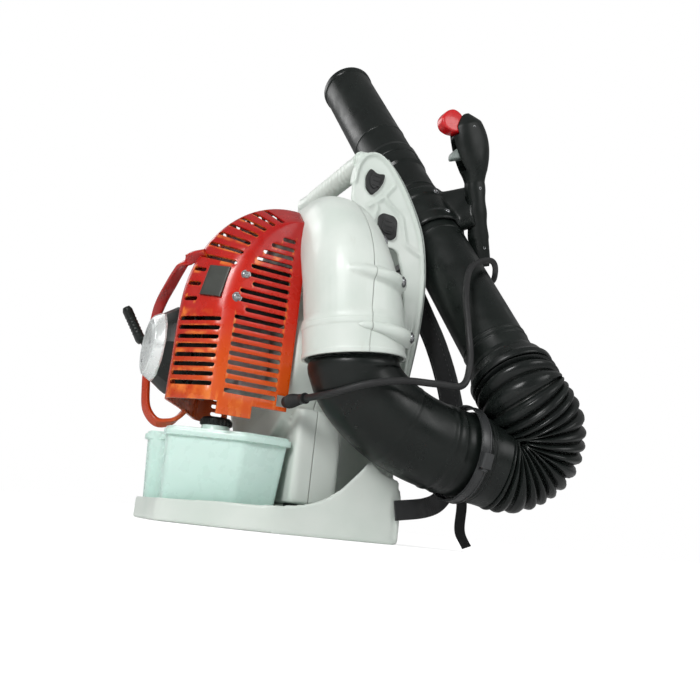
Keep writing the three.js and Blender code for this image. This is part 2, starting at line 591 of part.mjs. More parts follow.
// The tube group stands at the tube's lower end with its own Z along the tube.
const tubeGroup = new THREE.Group();
tubeGroup.position.copy(tubeFoot);
tubeGroup.quaternion.setFromUnitVectors(alongZ, tubeDirection);
root.add(tubeGroup);
const tubeOrigin = V(0, 0, 0);
const { radius: tubeR, wall: tubeWall, length: tubeLength, nozzleLength } = TUBE;
const onTube = (profile) => turned(profile, tubeOrigin, alongZ, 24);
piece('blow_tube', onTube([
  [tubeR - tubeWall, 0], [tubeR + 2, 0], [tubeR + 2, 30], [tubeR, 36], [tubeR, tubeLength - 30],
  [tubeR + 2.5, tubeLength - 24], [tubeR + 2.5, tubeLength], [tubeR - tubeWall, tubeLength],
]), 'black', tubeGroup);
piece('tube_cuff', onTube([
  [tubeR + 2.4, 3], [HOSE.radius, 3], [HOSE.radius, 12], [tubeR + 5, 25], [tubeR + 2.4, 25],
]), 'rubber', tubeGroup);
const nozzleStart = tubeLength + GAP;
const nozzleEnd = nozzleStart + nozzleLength;
piece('nozzle', onTube([
  [tubeR - tubeWall, nozzleStart], [tubeR + 2.5, nozzleStart], [tubeR + 2.5, nozzleStart + 18],
  [tubeR + 0.5, nozzleStart + 24], [tubeR + 0.5, nozzleEnd], [tubeR - 2, nozzleEnd],
]), 'black', tubeGroup);

// ---------------------------------------------------------------- control handle
const gripCurve = new THREE.CatmullRomCurve3(gripPath);
const gripSection = (t) => {
  const head = Math.max(0, t - 0.55) / 0.45;
  const swell = Math.sin(Math.PI * Math.min(head * 0.86, 1));
  return [15.5 + 14.5 * swell, 14 + 7 * swell];
};
const grip = swept(gripCurve, gripSection, alongY, 14, 12);
const triggerPocket = box(106, 122, 200, 262, 537, 581);
const leverPocket = box(111, 131, 180, 232, 584, 640);
const gripHollow = cut(grip, triggerPocket, leverPocket);
// The parting face follows the lean of the grip.
function halfSpace(sign) {
  const lean = [[84, 380], [104, 486], [115, 545], [121, 600], [121, 680]];
  const far = 115 + sign * 90;
  const offset = sign * GAP / 2;
  return prismY([[far, 380], ...lean.map(([x, z]) => [x + offset, z]), [far, 680]], 150, 360);
}
piece('handle_shell_right', common(gripHollow, halfSpace(1)), 'black');
piece('handle_shell_left', common(gripHollow, halfSpace(-1)), 'black');

const triggerOutline = [
  [259, 579], [246, 579], [226, 571], [216, 558], [217, 548], [228, 553], [244, 559], [259, 562],
];
piece('trigger', prismX(triggerOutline, 107, 121), 'grey');
const leverOutline = [
  [226, 590], [229, 598], [229, 606], [221, 620], [208, 624], [196, 617], [188, 603], [192, 589], [205, 585.5],
];
piece('throttle_lever', prismX(leverOutline, 112, 130), 'red');

const BRACKET_AT = 312;
function handleBracket() {
  const place = (geometry) => {
    geometry.applyQuaternion(tubeGroup.quaternion);
    return geometry.translate(tubeFoot.x, tubeFoot.y, tubeFoot.z);
  };
  const roundTube = (radius, length) => (
    new THREE.CylinderGeometry(radius, radius, length, 20).rotateX(Math.PI / 2).translate(0, 0, BRACKET_AT));
  const ring = roundTube(tubeR + 7, 76);
  const bore = roundTube(tubeR + 1, 120);
  const arm = swept(new THREE.LineCurve3(V(50, 236, 486), V(104, 272, 496)), () => [15, 42], alongY, 12, 1);
  const gripClearance = swept(gripCurve, (t) => gripSection(t).map((size) => size + GAP), alongY, 14, 12);
  return cut(union(solid(place(ring)), arm), solid(place(bore)), gripClearance);
}
piece('handle_bracket', handleBracket(), 'black');

// ---------------------------------------------------------------- throttle cable
const couplerAt = [V(121, 4, 152), V(160, 12, 154)];
const couplerSection = (t) => [6.5 + 1.5 * Math.sin(6 * t), 6.5];
piece('cable_coupler', swept(new THREE.CatmullRomCurve3(couplerAt), couplerSection, alongZ, 10, 4), 'rubber');
const cablePath = [
  V(161, 12.4, 154), V(200, 26, 158), V(228, 54, 170), V(238, 95, 180), V(240, 140, 184), V(236, 178, 190),
  V(228, 192, 220), V(214, 196, 270), V(196, 202, 320), V(176, 222, 366), V(158, 266, 392), V(126, 300, 396),
  V(102, 314, 388), V(86, 312, 394), V(85.3, 304.6, 409),
];
piece('throttle_cable', tubeAlong(cablePath, CABLE.radius, 0, 4, 38), 'rubber');

// ---------------------------------------------------------------- harness
const padFront = [[161, 110], [171, 200], [183, 280], [187, 335]];
const padOutline = [...padFront, ...padFront.slice().reverse().map(([y, z]) => [y + 20, z])];
piece('back_pad', common(prismX(padOutline, -86, 86),
  prismY(mirrored([[70, 100], [86, 130], [86, 310], [70, 345]]), 140, 230)), 'fabric');

const strapPath = [
  V(48, 182, 428), V(48, 191, 400), V(48, 206, 368), V(51, 228, 330), V(57, 252, 285), V(64, 270, 235),
  V(74, 277, 190), V(86, 273, 156),
];
const webEnd = [V(101, 252, 104), V(112, 250, 84), V(136, 224, 60), V(153, 192, 48), V(155, 148, 40)];
const tailEnd = [V(96, 281, 98), V(100, 285, 60), V(101, 284, 24), V(106, 293, 5)];
const flip = (points, side) => points.map((p) => V(p.x * side, p.y, p.z));
const turning = (side) => (t) => V(side, 0.1, 0).lerp(V(0, 0.25, -1), Math.min(1, t * 1.3));
for (const [side, word] of [[1, 'right'], [-1, 'left']]) {
  const across = () => V(side, 0.1, 0);
  const strap = flip(strapPath, side);
  const strapCurve = new THREE.CatmullRomCurve3(strap);
  const down = strapCurve.getTangentAt(1);
  const front = down.clone().cross(across()).normalize().multiplyScalar(-side);
  const below = (distance, forward) => (
    strapCurve.getPointAt(1).addScaledVector(down, distance).addScaledVector(front, forward));
  piece(`shoulder_strap_${word}`, strip(strap, STRAP.width, STRAP.thickness, across, 14), 'fabric');
  piece(`strap_buckle_${word}`, strip([below(0.5, 0), below(26, 0)], 36, 14, across, 1), 'black');
  const web = [below(27.5, -4.5), below(37, -7), ...flip(webEnd, side)];
  const tail = [below(27.5, 4.5), below(37, 8), ...flip(tailEnd, side)];
  piece(`lower_webbing_${word}`, strip(web, STRAP.webWidth, STRAP.webThickness, turning(side), 14), 'fabric');
  piece(`strap_tail_${word}`, strip(tail, STRAP.webWidth - 4, 2, across, 10), 'fabric');
}

export default root;
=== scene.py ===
# Backpack leaf blower: the detailed visual model, its materials, the studio and the camera.
# Shapes are written in millimetres in the CAD's frame and scaled to metres as they are made:
# X is the wearer's right, Y is forward, towards the wearer's back, and Z is up.
import json
import math

import bpy
import bmesh
from mathutils import Matrix, Vector

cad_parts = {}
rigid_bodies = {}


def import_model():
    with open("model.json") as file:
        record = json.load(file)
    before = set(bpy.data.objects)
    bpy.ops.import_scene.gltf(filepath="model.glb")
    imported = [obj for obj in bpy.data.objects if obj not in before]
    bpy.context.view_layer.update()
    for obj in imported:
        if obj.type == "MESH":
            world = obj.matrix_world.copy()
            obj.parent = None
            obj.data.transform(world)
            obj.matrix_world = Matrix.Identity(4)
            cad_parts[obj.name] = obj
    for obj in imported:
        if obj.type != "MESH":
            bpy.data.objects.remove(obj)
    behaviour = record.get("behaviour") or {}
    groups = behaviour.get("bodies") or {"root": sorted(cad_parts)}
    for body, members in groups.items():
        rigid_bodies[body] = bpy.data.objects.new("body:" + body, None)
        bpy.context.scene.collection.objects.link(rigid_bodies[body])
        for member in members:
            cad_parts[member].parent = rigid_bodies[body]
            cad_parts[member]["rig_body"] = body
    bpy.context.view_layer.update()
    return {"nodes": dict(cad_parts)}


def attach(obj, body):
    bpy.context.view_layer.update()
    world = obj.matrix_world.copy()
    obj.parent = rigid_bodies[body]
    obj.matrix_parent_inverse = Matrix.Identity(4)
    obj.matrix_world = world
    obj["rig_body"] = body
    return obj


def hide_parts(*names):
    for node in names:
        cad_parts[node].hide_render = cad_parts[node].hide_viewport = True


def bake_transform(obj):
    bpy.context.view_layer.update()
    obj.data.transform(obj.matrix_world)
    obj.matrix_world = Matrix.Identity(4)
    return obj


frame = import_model()

MM = 0.001

# ---------------------------------------------------------------- driving dimensions, in mm
AXIS = Vector((0, 0, 213))                     # a point on the crankshaft and fan axis
ALONG_X = Vector((1, 0, 0))
ALONG_Y = Vector((0, 1, 0))
ALONG_Z = Vector((0, 0, 1))

BASE_HALF = 150                                # half the width of the base
PLATE_HALF = 104                               # half the width of the back plate's upper part
HANDLE = Vector((0, 84, 507))
SPLIT_Y = 52                                   # parting plane of the fan housing
DRUM_RADIUS = 114

SHROUD_HALF = 116                              # half the width of the engine shroud
SHROUD_BOTTOM = 141
SHROUD_SPRING = 255                            # height at which the shroud's walls start to curve over
SHROUD_FRONT = 8
SLOT_PITCH = 11.2

ELBOW_RADIUS = 53
TUBE_RADIUS = 43.5
TUBE_BORE = TUBE_RADIUS - 2.5
TUBE_LENGTH = 450
NOZZLE_LENGTH = 259
TUBE_FOOT = Vector((206.4, 278.3, 215.2))
TUBE_AXIS = Vector((-0.5406, -0.1562, 0.8266)).normalized()
FILLER = Vector((70, -62, 0))                  # the filler's axis on the fuel tank

PAD_SWELL = 6 * MM                             # m, the farthest that the pad's cover moves as it fills out
CAMERA_PLACE = (0.9433, -0.3244, 0.015)        # m, low over the floor, behind the wearer's right side
CAMERA_RIGHT = (0.464, 0.8797, 0.1013)
CAMERA_FORWARD = (-0.867, 0.4283, 0.2556)
CAMERA_LENS = 38.06                            # mm
CAMERA_SHIFT = (-0.002, -0.027)                # shares of the picture's width

ELBOW_PATH = [(170, 65.2, 208), (170, 69, 188), (172, 98, 158), (177, 140, 134), (182, 182, 121),
              (184, 218, 116)]
GRIP_PATH = [(86, 303, 412), (104, 276, 486), (114, 259, 545), (120, 243, 590), (122, 226, 622)]
CABLE_PATH = [
    (161, 12.4, 154), (200, 26, 158), (228, 54, 170), (238, 95, 180), (240, 140, 184), (236, 178, 190),
    (228, 192, 220), (214, 196, 270), (196, 202, 320), (176, 222, 366), (158, 266, 392), (126, 300, 396),
    (102, 314, 388), (86, 312, 394), (85.3, 304.6, 409),
]


# ---------------------------------------------------------------- curves and outlines
def spline(points, count, even=True):
    """`count` points on a smooth curve through `points`: evenly spaced, or as many on each span."""
    points = [Vector(p) for p in points]
    ends = [points[0] * 2 - points[1]] + points + [points[-1] * 2 - points[-2]]
    dense = []
    per_span = 24
    for i in range(len(points) - 1):
        p0, p1, p2, p3 = ends[i:i + 4]
        t01, t12, t23 = ((b - a).length ** 0.5 for a, b in ((p0, p1), (p1, p2), (p2, p3)))
        m1 = p2 - p1 + t12 * ((p1 - p0) / t01 - (p2 - p0) / (t01 + t12))
        m2 = p2 - p1 + t12 * ((p3 - p2) / t23 - (p3 - p1) / (t12 + t23))
        for k in range(per_span):
            t = k / per_span
            dense.append(p1 * (2 * t**3 - 3 * t**2 + 1) + m1 * (t**3 - 2 * t**2 + t)
                         + p2 * (3 * t**2 - 2 * t**3) + m2 * (t**3 - t**2))
    dense.append(points[-1])
    if not even:
        step = (len(dense) - 1) / (count - 1)
        return [dense[round(i * step)] for i in range(count)]
    return spaced(dense, count)


def length_of(line):
    return sum((b - a).length for a, b in zip(line, line[1:]))


def spaced(line, count):
    """The same line as `count` evenly spaced points."""
    lengths = [0.0]
    for a, b in zip(line, line[1:]):
        lengths.append(lengths[-1] + (b - a).length)
    result = []
    span = 0
    for i in range(count):
        goal = lengths[-1] * i / (count - 1)
        while span < len(line) - 2 and lengths[span + 1] < goal:
            span += 1
        piece = lengths[span + 1] - lengths[span]
        result.append(line[span].lerp(line[span + 1], min(1, (goal - lengths[span]) / piece) if piece else 0))
    return result


def rounded(outline, radius, steps=4, closed=True):
    """A flat outline with each of its corners rounded."""
    points = [Vector((p[0], p[1])) for p in outline]
    result = []
    for i, corner in enumerate(points):
        if not closed and i in (0, len(points) - 1):
            result.append(corner)
            continue
        before = points[i - 1]
        after = points[(i + 1) % len(points)]
        reach = min(radius, (before - corner).length * 0.45, (after - corner).length * 0.45)
        a = corner + (before - corner).normalized() * reach
        b = corner + (after - corner).normalized() * reach
        for k in range(steps + 1):
            t = k / steps
            result.append(a * (1 - t) ** 2 + corner * 2 * t * (1 - t) + b * t**2)
    return result


def inset(outline, distance):
    """The closed outline moved inwards by a small distance."""
    area = sum(a.x * b.y - b.x * a.y for a, b in zip(outline, outline[1:] + outline[:1]))
    turn = 1 if area > 0 else -1
    result = []
    for i, point in enumerate(outline):
        before = (point - outline[i - 1]).normalized()
        after = (outline[(i + 1) % len(outline)] - point).normalized()
        way = before + after
        if way.length < 1e-6:
            way = before
        way.normalize()
        result.append(point + Vector((-way.y, way.x)) * turn * distance)
    return result


# ---------------------------------------------------------------- surfaces
def loft(rings, caps=True, closed_path=False):
    """A surface through rings of equally many points."""
    sides = len(rings[0])
    vertices = [p for ring in rings for p in ring]
    faces = []
    count = len(rings) if closed_path else len(rings) - 1
    for i in range(count):
        row = i * sides
        above = (i + 1) % len(rings) * sides
        for j in range(sides):
            nxt = (j + 1) % sides
            faces.append((row + j, row + nxt, above + nxt, above + j))
    if caps and not closed_path:
        faces.append(tuple(reversed(range(sides))))
        faces.append(tuple(range(len(vertices) - sides, len(vertices))))
    return vertices, faces


def tangents(path):
    result = []
    for i in range(len(path)):
        ahead = path[min(i + 1, len(path) - 1)]
        behind = path[max(i - 1, 0)]
        result.append((ahead - behind).normalized())
    return result


def sweep(path, section, across, power=2.0, sides=32, caps=True):
    """A body along a path. `section(t)` is its two half sizes, the first nearest to `across`;
    power 2 is an ellipse, and a higher one is a rounded rectangle."""
    rings = []
    for i, (centre, tangent) in enumerate(zip(path, tangents(path))):
        t = i / (len(path) - 1)
        aim = across(t) if callable(across) else across
        u = (aim - tangent * aim.dot(tangent)).normalized()
        v = tangent.cross(u)
        a, b = section(t)
        ring = []
        for k in range(sides):
            angle = 2 * math.pi * k / sides
            c, s = math.cos(angle), math.sin(angle)
            cu = math.copysign(abs(c) ** (2 / power), c)
            sv = math.copysign(abs(s) ** (2 / power), s)
            ring.append(centre + u * (a * cu) + v * (b * sv))
        rings.append(ring)
    return loft(rings, caps)


def pipe(path, radius, sides=20, caps=True):
    """A round body along a path; the radius is a number or a function of the way along."""
    size = radius if callable(radius) else lambda t: radius
    overall = (path[-1] - path[0]).normalized()
    across = min((ALONG_X, ALONG_Y, ALONG_Z), key=lambda axis: abs(axis.dot(overall)))
    return sweep(path, lambda t: (size(t), size(t)), across, sides=sides, caps=caps)


def basis(axis):
    """Two directions at right angles to `axis`, which with it make a right-handed set."""
    axis = axis.normalized()
    helper = ALONG_X if abs(axis.x) < 0.9 else ALONG_Y
    u = (helper - axis * helper.dot(axis)).normalized()
    return u, axis.cross(u)


def turned(profile, origin, axis, sides=64, corner=0.0, closed=True):
    """A round body about a line; the profile is (radius, distance along `axis`)."""
    if corner:
        profile = rounded(profile, corner, closed=closed)
    u, v = basis(axis)
    axis = axis.normalized()
    rings = []
    for k in range(sides):
        angle = 2 * math.pi * k / sides
        out = u * math.cos(angle) + v * math.sin(angle)
        rings.append([origin + out * max(p[0], 0.0) + axis * p[1] for p in profile])
    vertices = [p for ring in rings for p in ring]
    count = len(profile)
    faces = []
    for i in range(sides):
        row = i * count
        above = (i + 1) % sides * count
        for j in range(count if closed else count - 1):
            nxt = (j + 1) % count
            faces.append((row + j, row + nxt, above + nxt, above + j))
    return vertices, faces


PLANES = {
    "x": lambda p, depth: Vector((depth, p[0], p[1])),
    "y": lambda p, depth: Vector((p[0], depth, p[1])),
    "z": lambda p, depth: Vector((p[0], p[1], depth)),
}


def slab(outline, axis, low, high, edge=1.0, corner=0.0):
    """A flat outline made solid along an axis, with rounded rims."""
    if corner:
        outline = rounded(outline, corner)
    else:
        outline = [Vector((p[0], p[1])) for p in outline]
    place = PLANES[axis]
    layers = []
    steps = 3
    for k in range(steps + 1):
        angle = math.pi / 2 * k / steps
        layers.append((edge * (1 - math.sin(angle)), low + edge * (1 - math.cos(angle))))
    layers += [(inward, low + high - depth) for inward, depth in reversed(layers)]
    return loft([[place(p, depth) for p in inset(outline, inward)] for inward, depth in layers])


def block(low, high, edge=1.0, corner=2.0):
    """A box with rounded edges, from its lowest to its highest corner."""
    outline = [(low[0], low[1]), (high[0], low[1]), (high[0], high[1]), (low[0], high[1])]
    return slab(outline, "z", low[2], high[2], edge, corner)


def moved(part, matrix):
    vertices, faces = part
    return [matrix @ v for v in vertices], faces


def screw(centre, axis, radius=4.2, height=3.0):
    """A screw head with a round recess, standing on `centre`."""
    head = turned([(0, 0), (radius, 0), (radius, height * 0.6), (radius * 0.72, height),
                   (radius * 0.45, height), (radius * 0.38, height * 0.45), (0, height * 0.45)], centre, axis,
                   sides=18, corner=0.5, closed=False)
    washer = turned([(0, -0.6), (radius * 1.35, -0.6), (radius * 1.35, 0.3), (0, 0.3)], centre, axis,
                    sides=24, corner=0.2, closed=False)
    return [head, washer]


# ---------------------------------------------------------------- pieces
def mesh_from(name, parts):
    mesh = bpy.data.meshes.new(name)
    vertices = []
    faces = []
    for part_vertices, part_faces in parts:
        start = len(vertices)
        vertices += [v * MM for v in part_vertices]
        faces += [tuple(i + start for i in face) for face in part_faces]
    mesh.from_pydata(vertices, [], faces)
    bm = bmesh.new()
    bm.from_mesh(mesh)
    bmesh.ops.remove_doubles(bm, verts=bm.verts, dist=0.00002)
    bmesh.ops.dissolve_degenerate(bm, edges=bm.edges, dist=0.00001)
    bmesh.ops.recalc_face_normals(bm, faces=bm.faces)
    bm.to_mesh(mesh)
    bm.free()
    return mesh


def object_from(name, parts):
    obj = bpy.data.objects.new(name, mesh_from(name, parts))
    bpy.context.scene.collection.objects.link(obj)
    return obj


def shade(obj, angle=38):
    obj.data.shade_smooth()
    obj.data.set_sharp_from_angle(angle=math.radians(angle))


def apply_modifiers(obj):
    graph = bpy.context.evaluated_depsgraph_get()
    graph.update()
    baked = bpy.data.meshes.new_from_object(obj.evaluated_get(graph), depsgraph=graph)
    old = obj.data
    obj.modifiers.clear()
    obj.data = baked
    bpy.data.meshes.remove(old)


def bevelled(obj, width, segments=2, angle=50):
    """Rounds every edge sharper than `angle` degrees."""
    modifier = obj.modifiers.new("edges", "BEVEL")
    modifier.width = width * MM
    modifier.segments = segments
    modifier.limit_method = "ANGLE"
    modifier.angle_limit = math.radians(angle)
    apply_modifiers(obj)


def as_part(obj):
    """An object's mesh as a part again; the object itself is deleted."""
    part = [v.co / MM for v in obj.data.vertices], [tuple(f.vertices) for f in obj.data.polygons]
    bpy.data.objects.remove(obj)
    return part


def combine(obj, parts, operation, solver="EXACT"):
    """Joins parts to an object, or cuts them out of it."""
    other = object_from("tool", parts)
    modifier = obj.modifiers.new("combine", "BOOLEAN")
    modifier.operation = operation
    modifier.solver = solver
    if solver == "EXACT":
        modifier.use_self = True
    modifier.object = other
    apply_modifiers(obj)
    bpy.data.objects.remove(other)


def cut(obj, parts, solver="EXACT"):
    combine(obj, parts, "DIFFERENCE", solver)


def melted(obj, voxel, smooth=4):
    """One skin over overlapping bodies, with its edges and inner corners softly rounded."""
    modifier = obj.modifiers.new("skin", "REMESH")
    modifier.mode = "VOXEL"
    modifier.voxel_size = voxel * MM
    apply_modifiers(obj)
    modifier = obj.modifiers.new("soften", "SMOOTH")
    modifier.factor = 0.5
    modifier.iterations = smooth
    apply_modifiers(obj)


def finish_piece(obj, material, body="frame", slot=None, replaces=(), angle=38):
    """Gives a piece its material and body; the slot is not used. A piece that will bend between two bodies
    has no body.
    """
    obj.data.materials.clear()
    obj.data.materials.append(material)
    shade(obj, angle)
    if body:
        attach(obj, body)
    if replaces:
        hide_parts(*replaces)
    return obj


def piece(name, parts, material, body="frame", slot=None, replaces=(), angle=38):
    return finish_piece(object_from(name, parts), material, body, slot, replaces, angle)


def refined(node, material, bevel=0.5, angle=35):
    """A CAD node's own shape with clean faces and softened edges."""
    source = frame["nodes"][node]
    mesh = source.data.copy()
    bm = bmesh.new()
    bm.from_mesh(mesh)
    bmesh.ops.remove_doubles(bm, verts=bm.verts, dist=0.00001)
    bmesh.ops.dissolve_limit(bm, angle_limit=math.radians(1), verts=bm.verts, edges=bm.edges)
    bm.to_mesh(mesh)
    bm.free()
    obj = bpy.data.objects.new(node + "_surface", mesh)
    bpy.context.scene.collection.objects.link(obj)
    bevelled(obj, bevel, angle=angle)
    finish_piece(obj, material, source["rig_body"], replaces=[node], angle=angle)


# ---------------------------------------------------------------- materials
class Surface:
    """A material's nodes, with short calls for the kinds of detail used here."""

    def __init__(self, name, color, roughness, metallic=0.0):
        self.material = bpy.data.materials.new(name)
        self.material.use_nodes = True
        self.tree = self.material.node_tree
        self.tree.nodes.clear()
        self.shader = self.add("ShaderNodeBsdfPrincipled")
        output = self.add("ShaderNodeOutputMaterial")
        self.link(self.shader.outputs["BSDF"], output.inputs["Surface"])
        self.place = self.add("ShaderNodeTexCoord").outputs["Object"]
        self.shader.inputs["Metallic"].default_value = metallic
        self.shader.inputs["Roughness"].default_value = roughness
        self.shader.inputs["Base Color"].default_value = (*color, 1)
        self.normal = None
        self.color = None
        self.plain = (*color, 1)

    def add(self, kind):
        return self.tree.nodes.new(kind)

    def link(self, source, target):
        self.tree.links.new(source, target)

    def noise(self, scale, detail=3.0, rough=0.5, stretch=(1, 1, 1)):
        mapping = self.add("ShaderNodeMapping")
        mapping.inputs["Scale"].default_value = stretch
        self.link(self.place, mapping.inputs["Vector"])
        texture = self.add("ShaderNodeTexNoise")
        texture.inputs["Scale"].default_value = scale
        texture.inputs["Detail"].default_value = detail
        texture.inputs["Roughness"].default_value = rough
        self.link(mapping.outputs["Vector"], texture.inputs["Vector"])
        return texture.outputs["Fac"]

    def wave(self, direction, period, distortion=0.0):
        """Bands across one direction, with their period in mm."""
        texture = self.add("ShaderNodeTexWave")
        texture.bands_direction = direction
        texture.inputs["Scale"].default_value = 2 * math.pi / (20 * period * MM)
        texture.inputs["Distortion"].default_value = distortion
        self.link(self.place, texture.inputs["Vector"])
        return texture.outputs["Fac"]

    def ramp(self, value, low, high, start=0.0, end=1.0):
        node = self.add("ShaderNodeMapRange")
        node.interpolation_type = "SMOOTHSTEP"
        self.link(value, node.inputs["Value"])
        node.inputs["From Min"].default_value = low
        node.inputs["From Max"].default_value = high
        node.inputs["To Min"].default_value = start
        node.inputs["To Max"].default_value = end
        return node.outputs["Result"]

    def math(self, operation, a, b=None):
        node = self.add("ShaderNodeMath")
        node.operation = operation
        for socket, value in zip(node.inputs, (a, b)):
            if value is None:
                continue
            if isinstance(value, (int, float)):
                socket.default_value = value
            else:
                self.link(value, socket)
        return node.outputs["Value"]

    def coordinate(self, letter):
        node = self.add("ShaderNodeSeparateXYZ")
        self.link(self.place, node.inputs["Vector"])
        return node.outputs[letter]

    def tint(self, factor, color):
        """Mixes another colour over what is there."""
        node = self.add("ShaderNodeMix")
        node.data_type = "RGBA"
        self.link(factor, node.inputs["Factor"])
        if self.color is None:
            node.inputs[6].default_value = self.plain
        else:
            self.link(self.color, node.inputs[6])
        node.inputs[7].default_value = (*color, 1)
        self.color = node.outputs[2]
        self.link(self.color, self.shader.inputs["Base Color"])
        return self

    def gloss(self, factor, smooth, rough):
        self.link(self.ramp(factor, 0.3, 0.7, smooth, rough), self.shader.inputs["Roughness"])
        return self

    def bump(self, height, depth, strength=1.0):
        """Relief with its depth in mm."""
        node = self.add("ShaderNodeBump")
        node.inputs["Distance"].default_value = depth * MM
        node.inputs["Strength"].default_value = strength
        self.link(height, node.inputs["Height"])
        if self.normal is not None:
            self.link(self.normal, node.inputs["Normal"])
        self.normal = node.outputs["Normal"]
        self.link(self.normal, self.shader.inputs["Normal"])
        return self

    def edges(self, color, low=0.52, high=0.62):
        """Another colour along raised edges: wear and dust on the black plastic, painted highlight on the
        shroud.
        """
        shape = self.add("ShaderNodeNewGeometry").outputs["Pointiness"]
        edge_wear_and_highlight = self.math("MULTIPLY", self.ramp(shape, low, high), self.ramp(self.noise(60, 4), 0.35, 0.7))
        return self.tint(edge_wear_and_highlight, color)

    def hollows(self, color, low=0.5, high=0.42, amount=0.6):
        """Another colour in inner corners: painted shade where it is darker, dust where it is lighter."""
        shape = self.add("ShaderNodeNewGeometry").outputs["Pointiness"]
        return self.tint(self.math("MULTIPLY", self.ramp(shape, low, high), amount), color)

    def coat(self, weight, roughness):
        self.shader.inputs["Coat Weight"].default_value = weight
        self.shader.inputs["Coat Roughness"].default_value = roughness
        return self


def moulded(name, color, smooth, rough, grain=0.012, second=None, hollow_dust_and_shade=None):
    """Injection-moulded plastic: a fine grain, slow waviness, and uneven gloss and colour."""
    surface = Surface(name, color, smooth)
    broad = surface.noise(14, 3)
    if second:
        surface.tint(surface.ramp(broad, 0.35, 0.75, 0, 0.6), second)
    # Inner corners take another colour: painted shade on the light plastics, dust on the black plastic and
    # rubber.
    if hollow_dust_and_shade:
        surface.hollows(hollow_dust_and_shade)
    surface.gloss(surface.noise(38, 4), smooth, rough)
    surface.bump(surface.noise(1400, 2), grain)
    surface.bump(surface.noise(55, 2), 0.12, 0.35)
    return surface


def shell_plastic(name="shell_plastic", parting=None):
    # The dark colour for the inner corners is painted shade.
    surface = moulded(name, (0.72, 0.775, 0.725), 0.28, 0.44, second=(0.60, 0.68, 0.62),
                      hollow_dust_and_shade=(0.26, 0.28, 0.24))
    streaks = surface.noise(30, 5, 0.6, stretch=(1, 1, 0.25))
    surface.tint(surface.ramp(streaks, 0.62, 0.80, 0, 0.35), (0.52, 0.54, 0.47))
    if parting is not None:
        away = surface.math("ABSOLUTE", surface.math("SUBTRACT", surface.coordinate("Y"), parting * MM))
        line = surface.ramp(away, 0.7 * MM, 0.3 * MM)
        surface.tint(surface.math("MULTIPLY", line, 0.35), (0.30, 0.31, 0.28))
        surface.bump(surface.ramp(away, 0.2 * MM, 1.0 * MM), 0.6)
    return surface.material


def shroud_plastic():
    """Red that turns orange towards the bottom, under a clear gloss."""
    surface = Surface("shroud_plastic", (0.42, 0.003, 0.002), 0.27)
    height = surface.coordinate("Z")
    wander = surface.math("MULTIPLY", surface.math("SUBTRACT", surface.noise(9, 2), 0.5), 0.10)
    level = surface.math("ADD", height, wander)
    surface.tint(surface.ramp(level, 0.37, 0.27), (0.60, 0.016, 0.003))
    surface.tint(surface.ramp(level, 0.27, 0.15), (0.70, 0.090, 0.004))
    # Darker red towards the rear, over the rear face and the guard band: painted shade.
    behind = surface.ramp(surface.coordinate("Y"), -0.075, -0.125)
    surface.tint(surface.math("MULTIPLY", behind, 0.6), (0.34, 0.003, 0.004))
    # A brighter orange along raised edges: painted highlight.
    surface.edges((0.82, 0.20, 0.03), 0.53, 0.60)
    # Darker red in inner corners: painted shade.
    surface.hollows((0.18, 0.012, 0.006), amount=0.7)
    surface.gloss(surface.noise(45, 4), 0.20, 0.38)
    surface.bump(surface.noise(900, 2), 0.010)
    surface.bump(surface.noise(40, 2), 0.15, 0.4)
    return surface.coat(0.18, 0.16).material


def black_plastic(name="black_plastic", smooth=0.26, rough=0.44, color=(0.006, 0.0085, 0.0075)):
    surface = moulded(name, color, smooth, rough, grain=0.02, second=(0.010, 0.014, 0.012),
                      hollow_dust_and_shade=(0.030, 0.032, 0.029))
    surface.edges((0.035, 0.040, 0.037))
    scuffs = surface.noise(120, 6, 0.7, stretch=(1, 0.2, 1))
    surface.tint(surface.ramp(scuffs, 0.66, 0.78, 0, 0.30), (0.040, 0.044, 0.040))
    surface.shader.inputs["Specular IOR Level"].default_value = 0.32
    return surface.material


def rubber():
    surface = moulded("rubber", (0.012, 0.0125, 0.013), 0.46, 0.70, grain=0.03, second=(0.022, 0.023, 0.023),
                      hollow_dust_and_shade=(0.07, 0.07, 0.065))
    return surface.material


def tank_plastic():
    """Milky blow-moulded plastic that lets some light through."""
    surface = Surface("tank_plastic", (0.66, 0.86, 0.79), 0.26)
    surface.tint(surface.ramp(surface.coordinate("Z"), 0.095, 0.02, 0, 0.6), (0.55, 0.76, 0.69))
    surface.tint(surface.ramp(surface.noise(16, 3), 0.55, 0.85, 0, 0.22), (0.50, 0.69, 0.62))
    # Darker inner corners: painted shade.
    surface.hollows((0.36, 0.50, 0.44), amount=0.5)
    surface.gloss(surface.noise(60, 3), 0.22, 0.36)
    surface.bump(surface.noise(700, 2), 0.015)
    surface.bump(surface.noise(24, 2), 0.5, 0.3)
    surface.shader.inputs["Subsurface Weight"].default_value = 0.25
    surface.shader.inputs["Subsurface Radius"].default_value = (0.7, 1.0, 0.9)
    surface.shader.inputs["Subsurface Scale"].default_value = 0.006
    return surface.material


def cast_metal():
    surface = Surface("cast_metal", (0.52, 0.53, 0.54), 0.45, metallic=0.9)
    surface.tint(surface.ramp(surface.noise(35, 5), 0.45, 0.75, 0, 0.7), (0.26, 0.25, 0.23))
    surface.gloss(surface.noise(80, 3), 0.35, 0.62)
    surface.bump(surface.noise(700, 4), 0.06)
    return surface.material


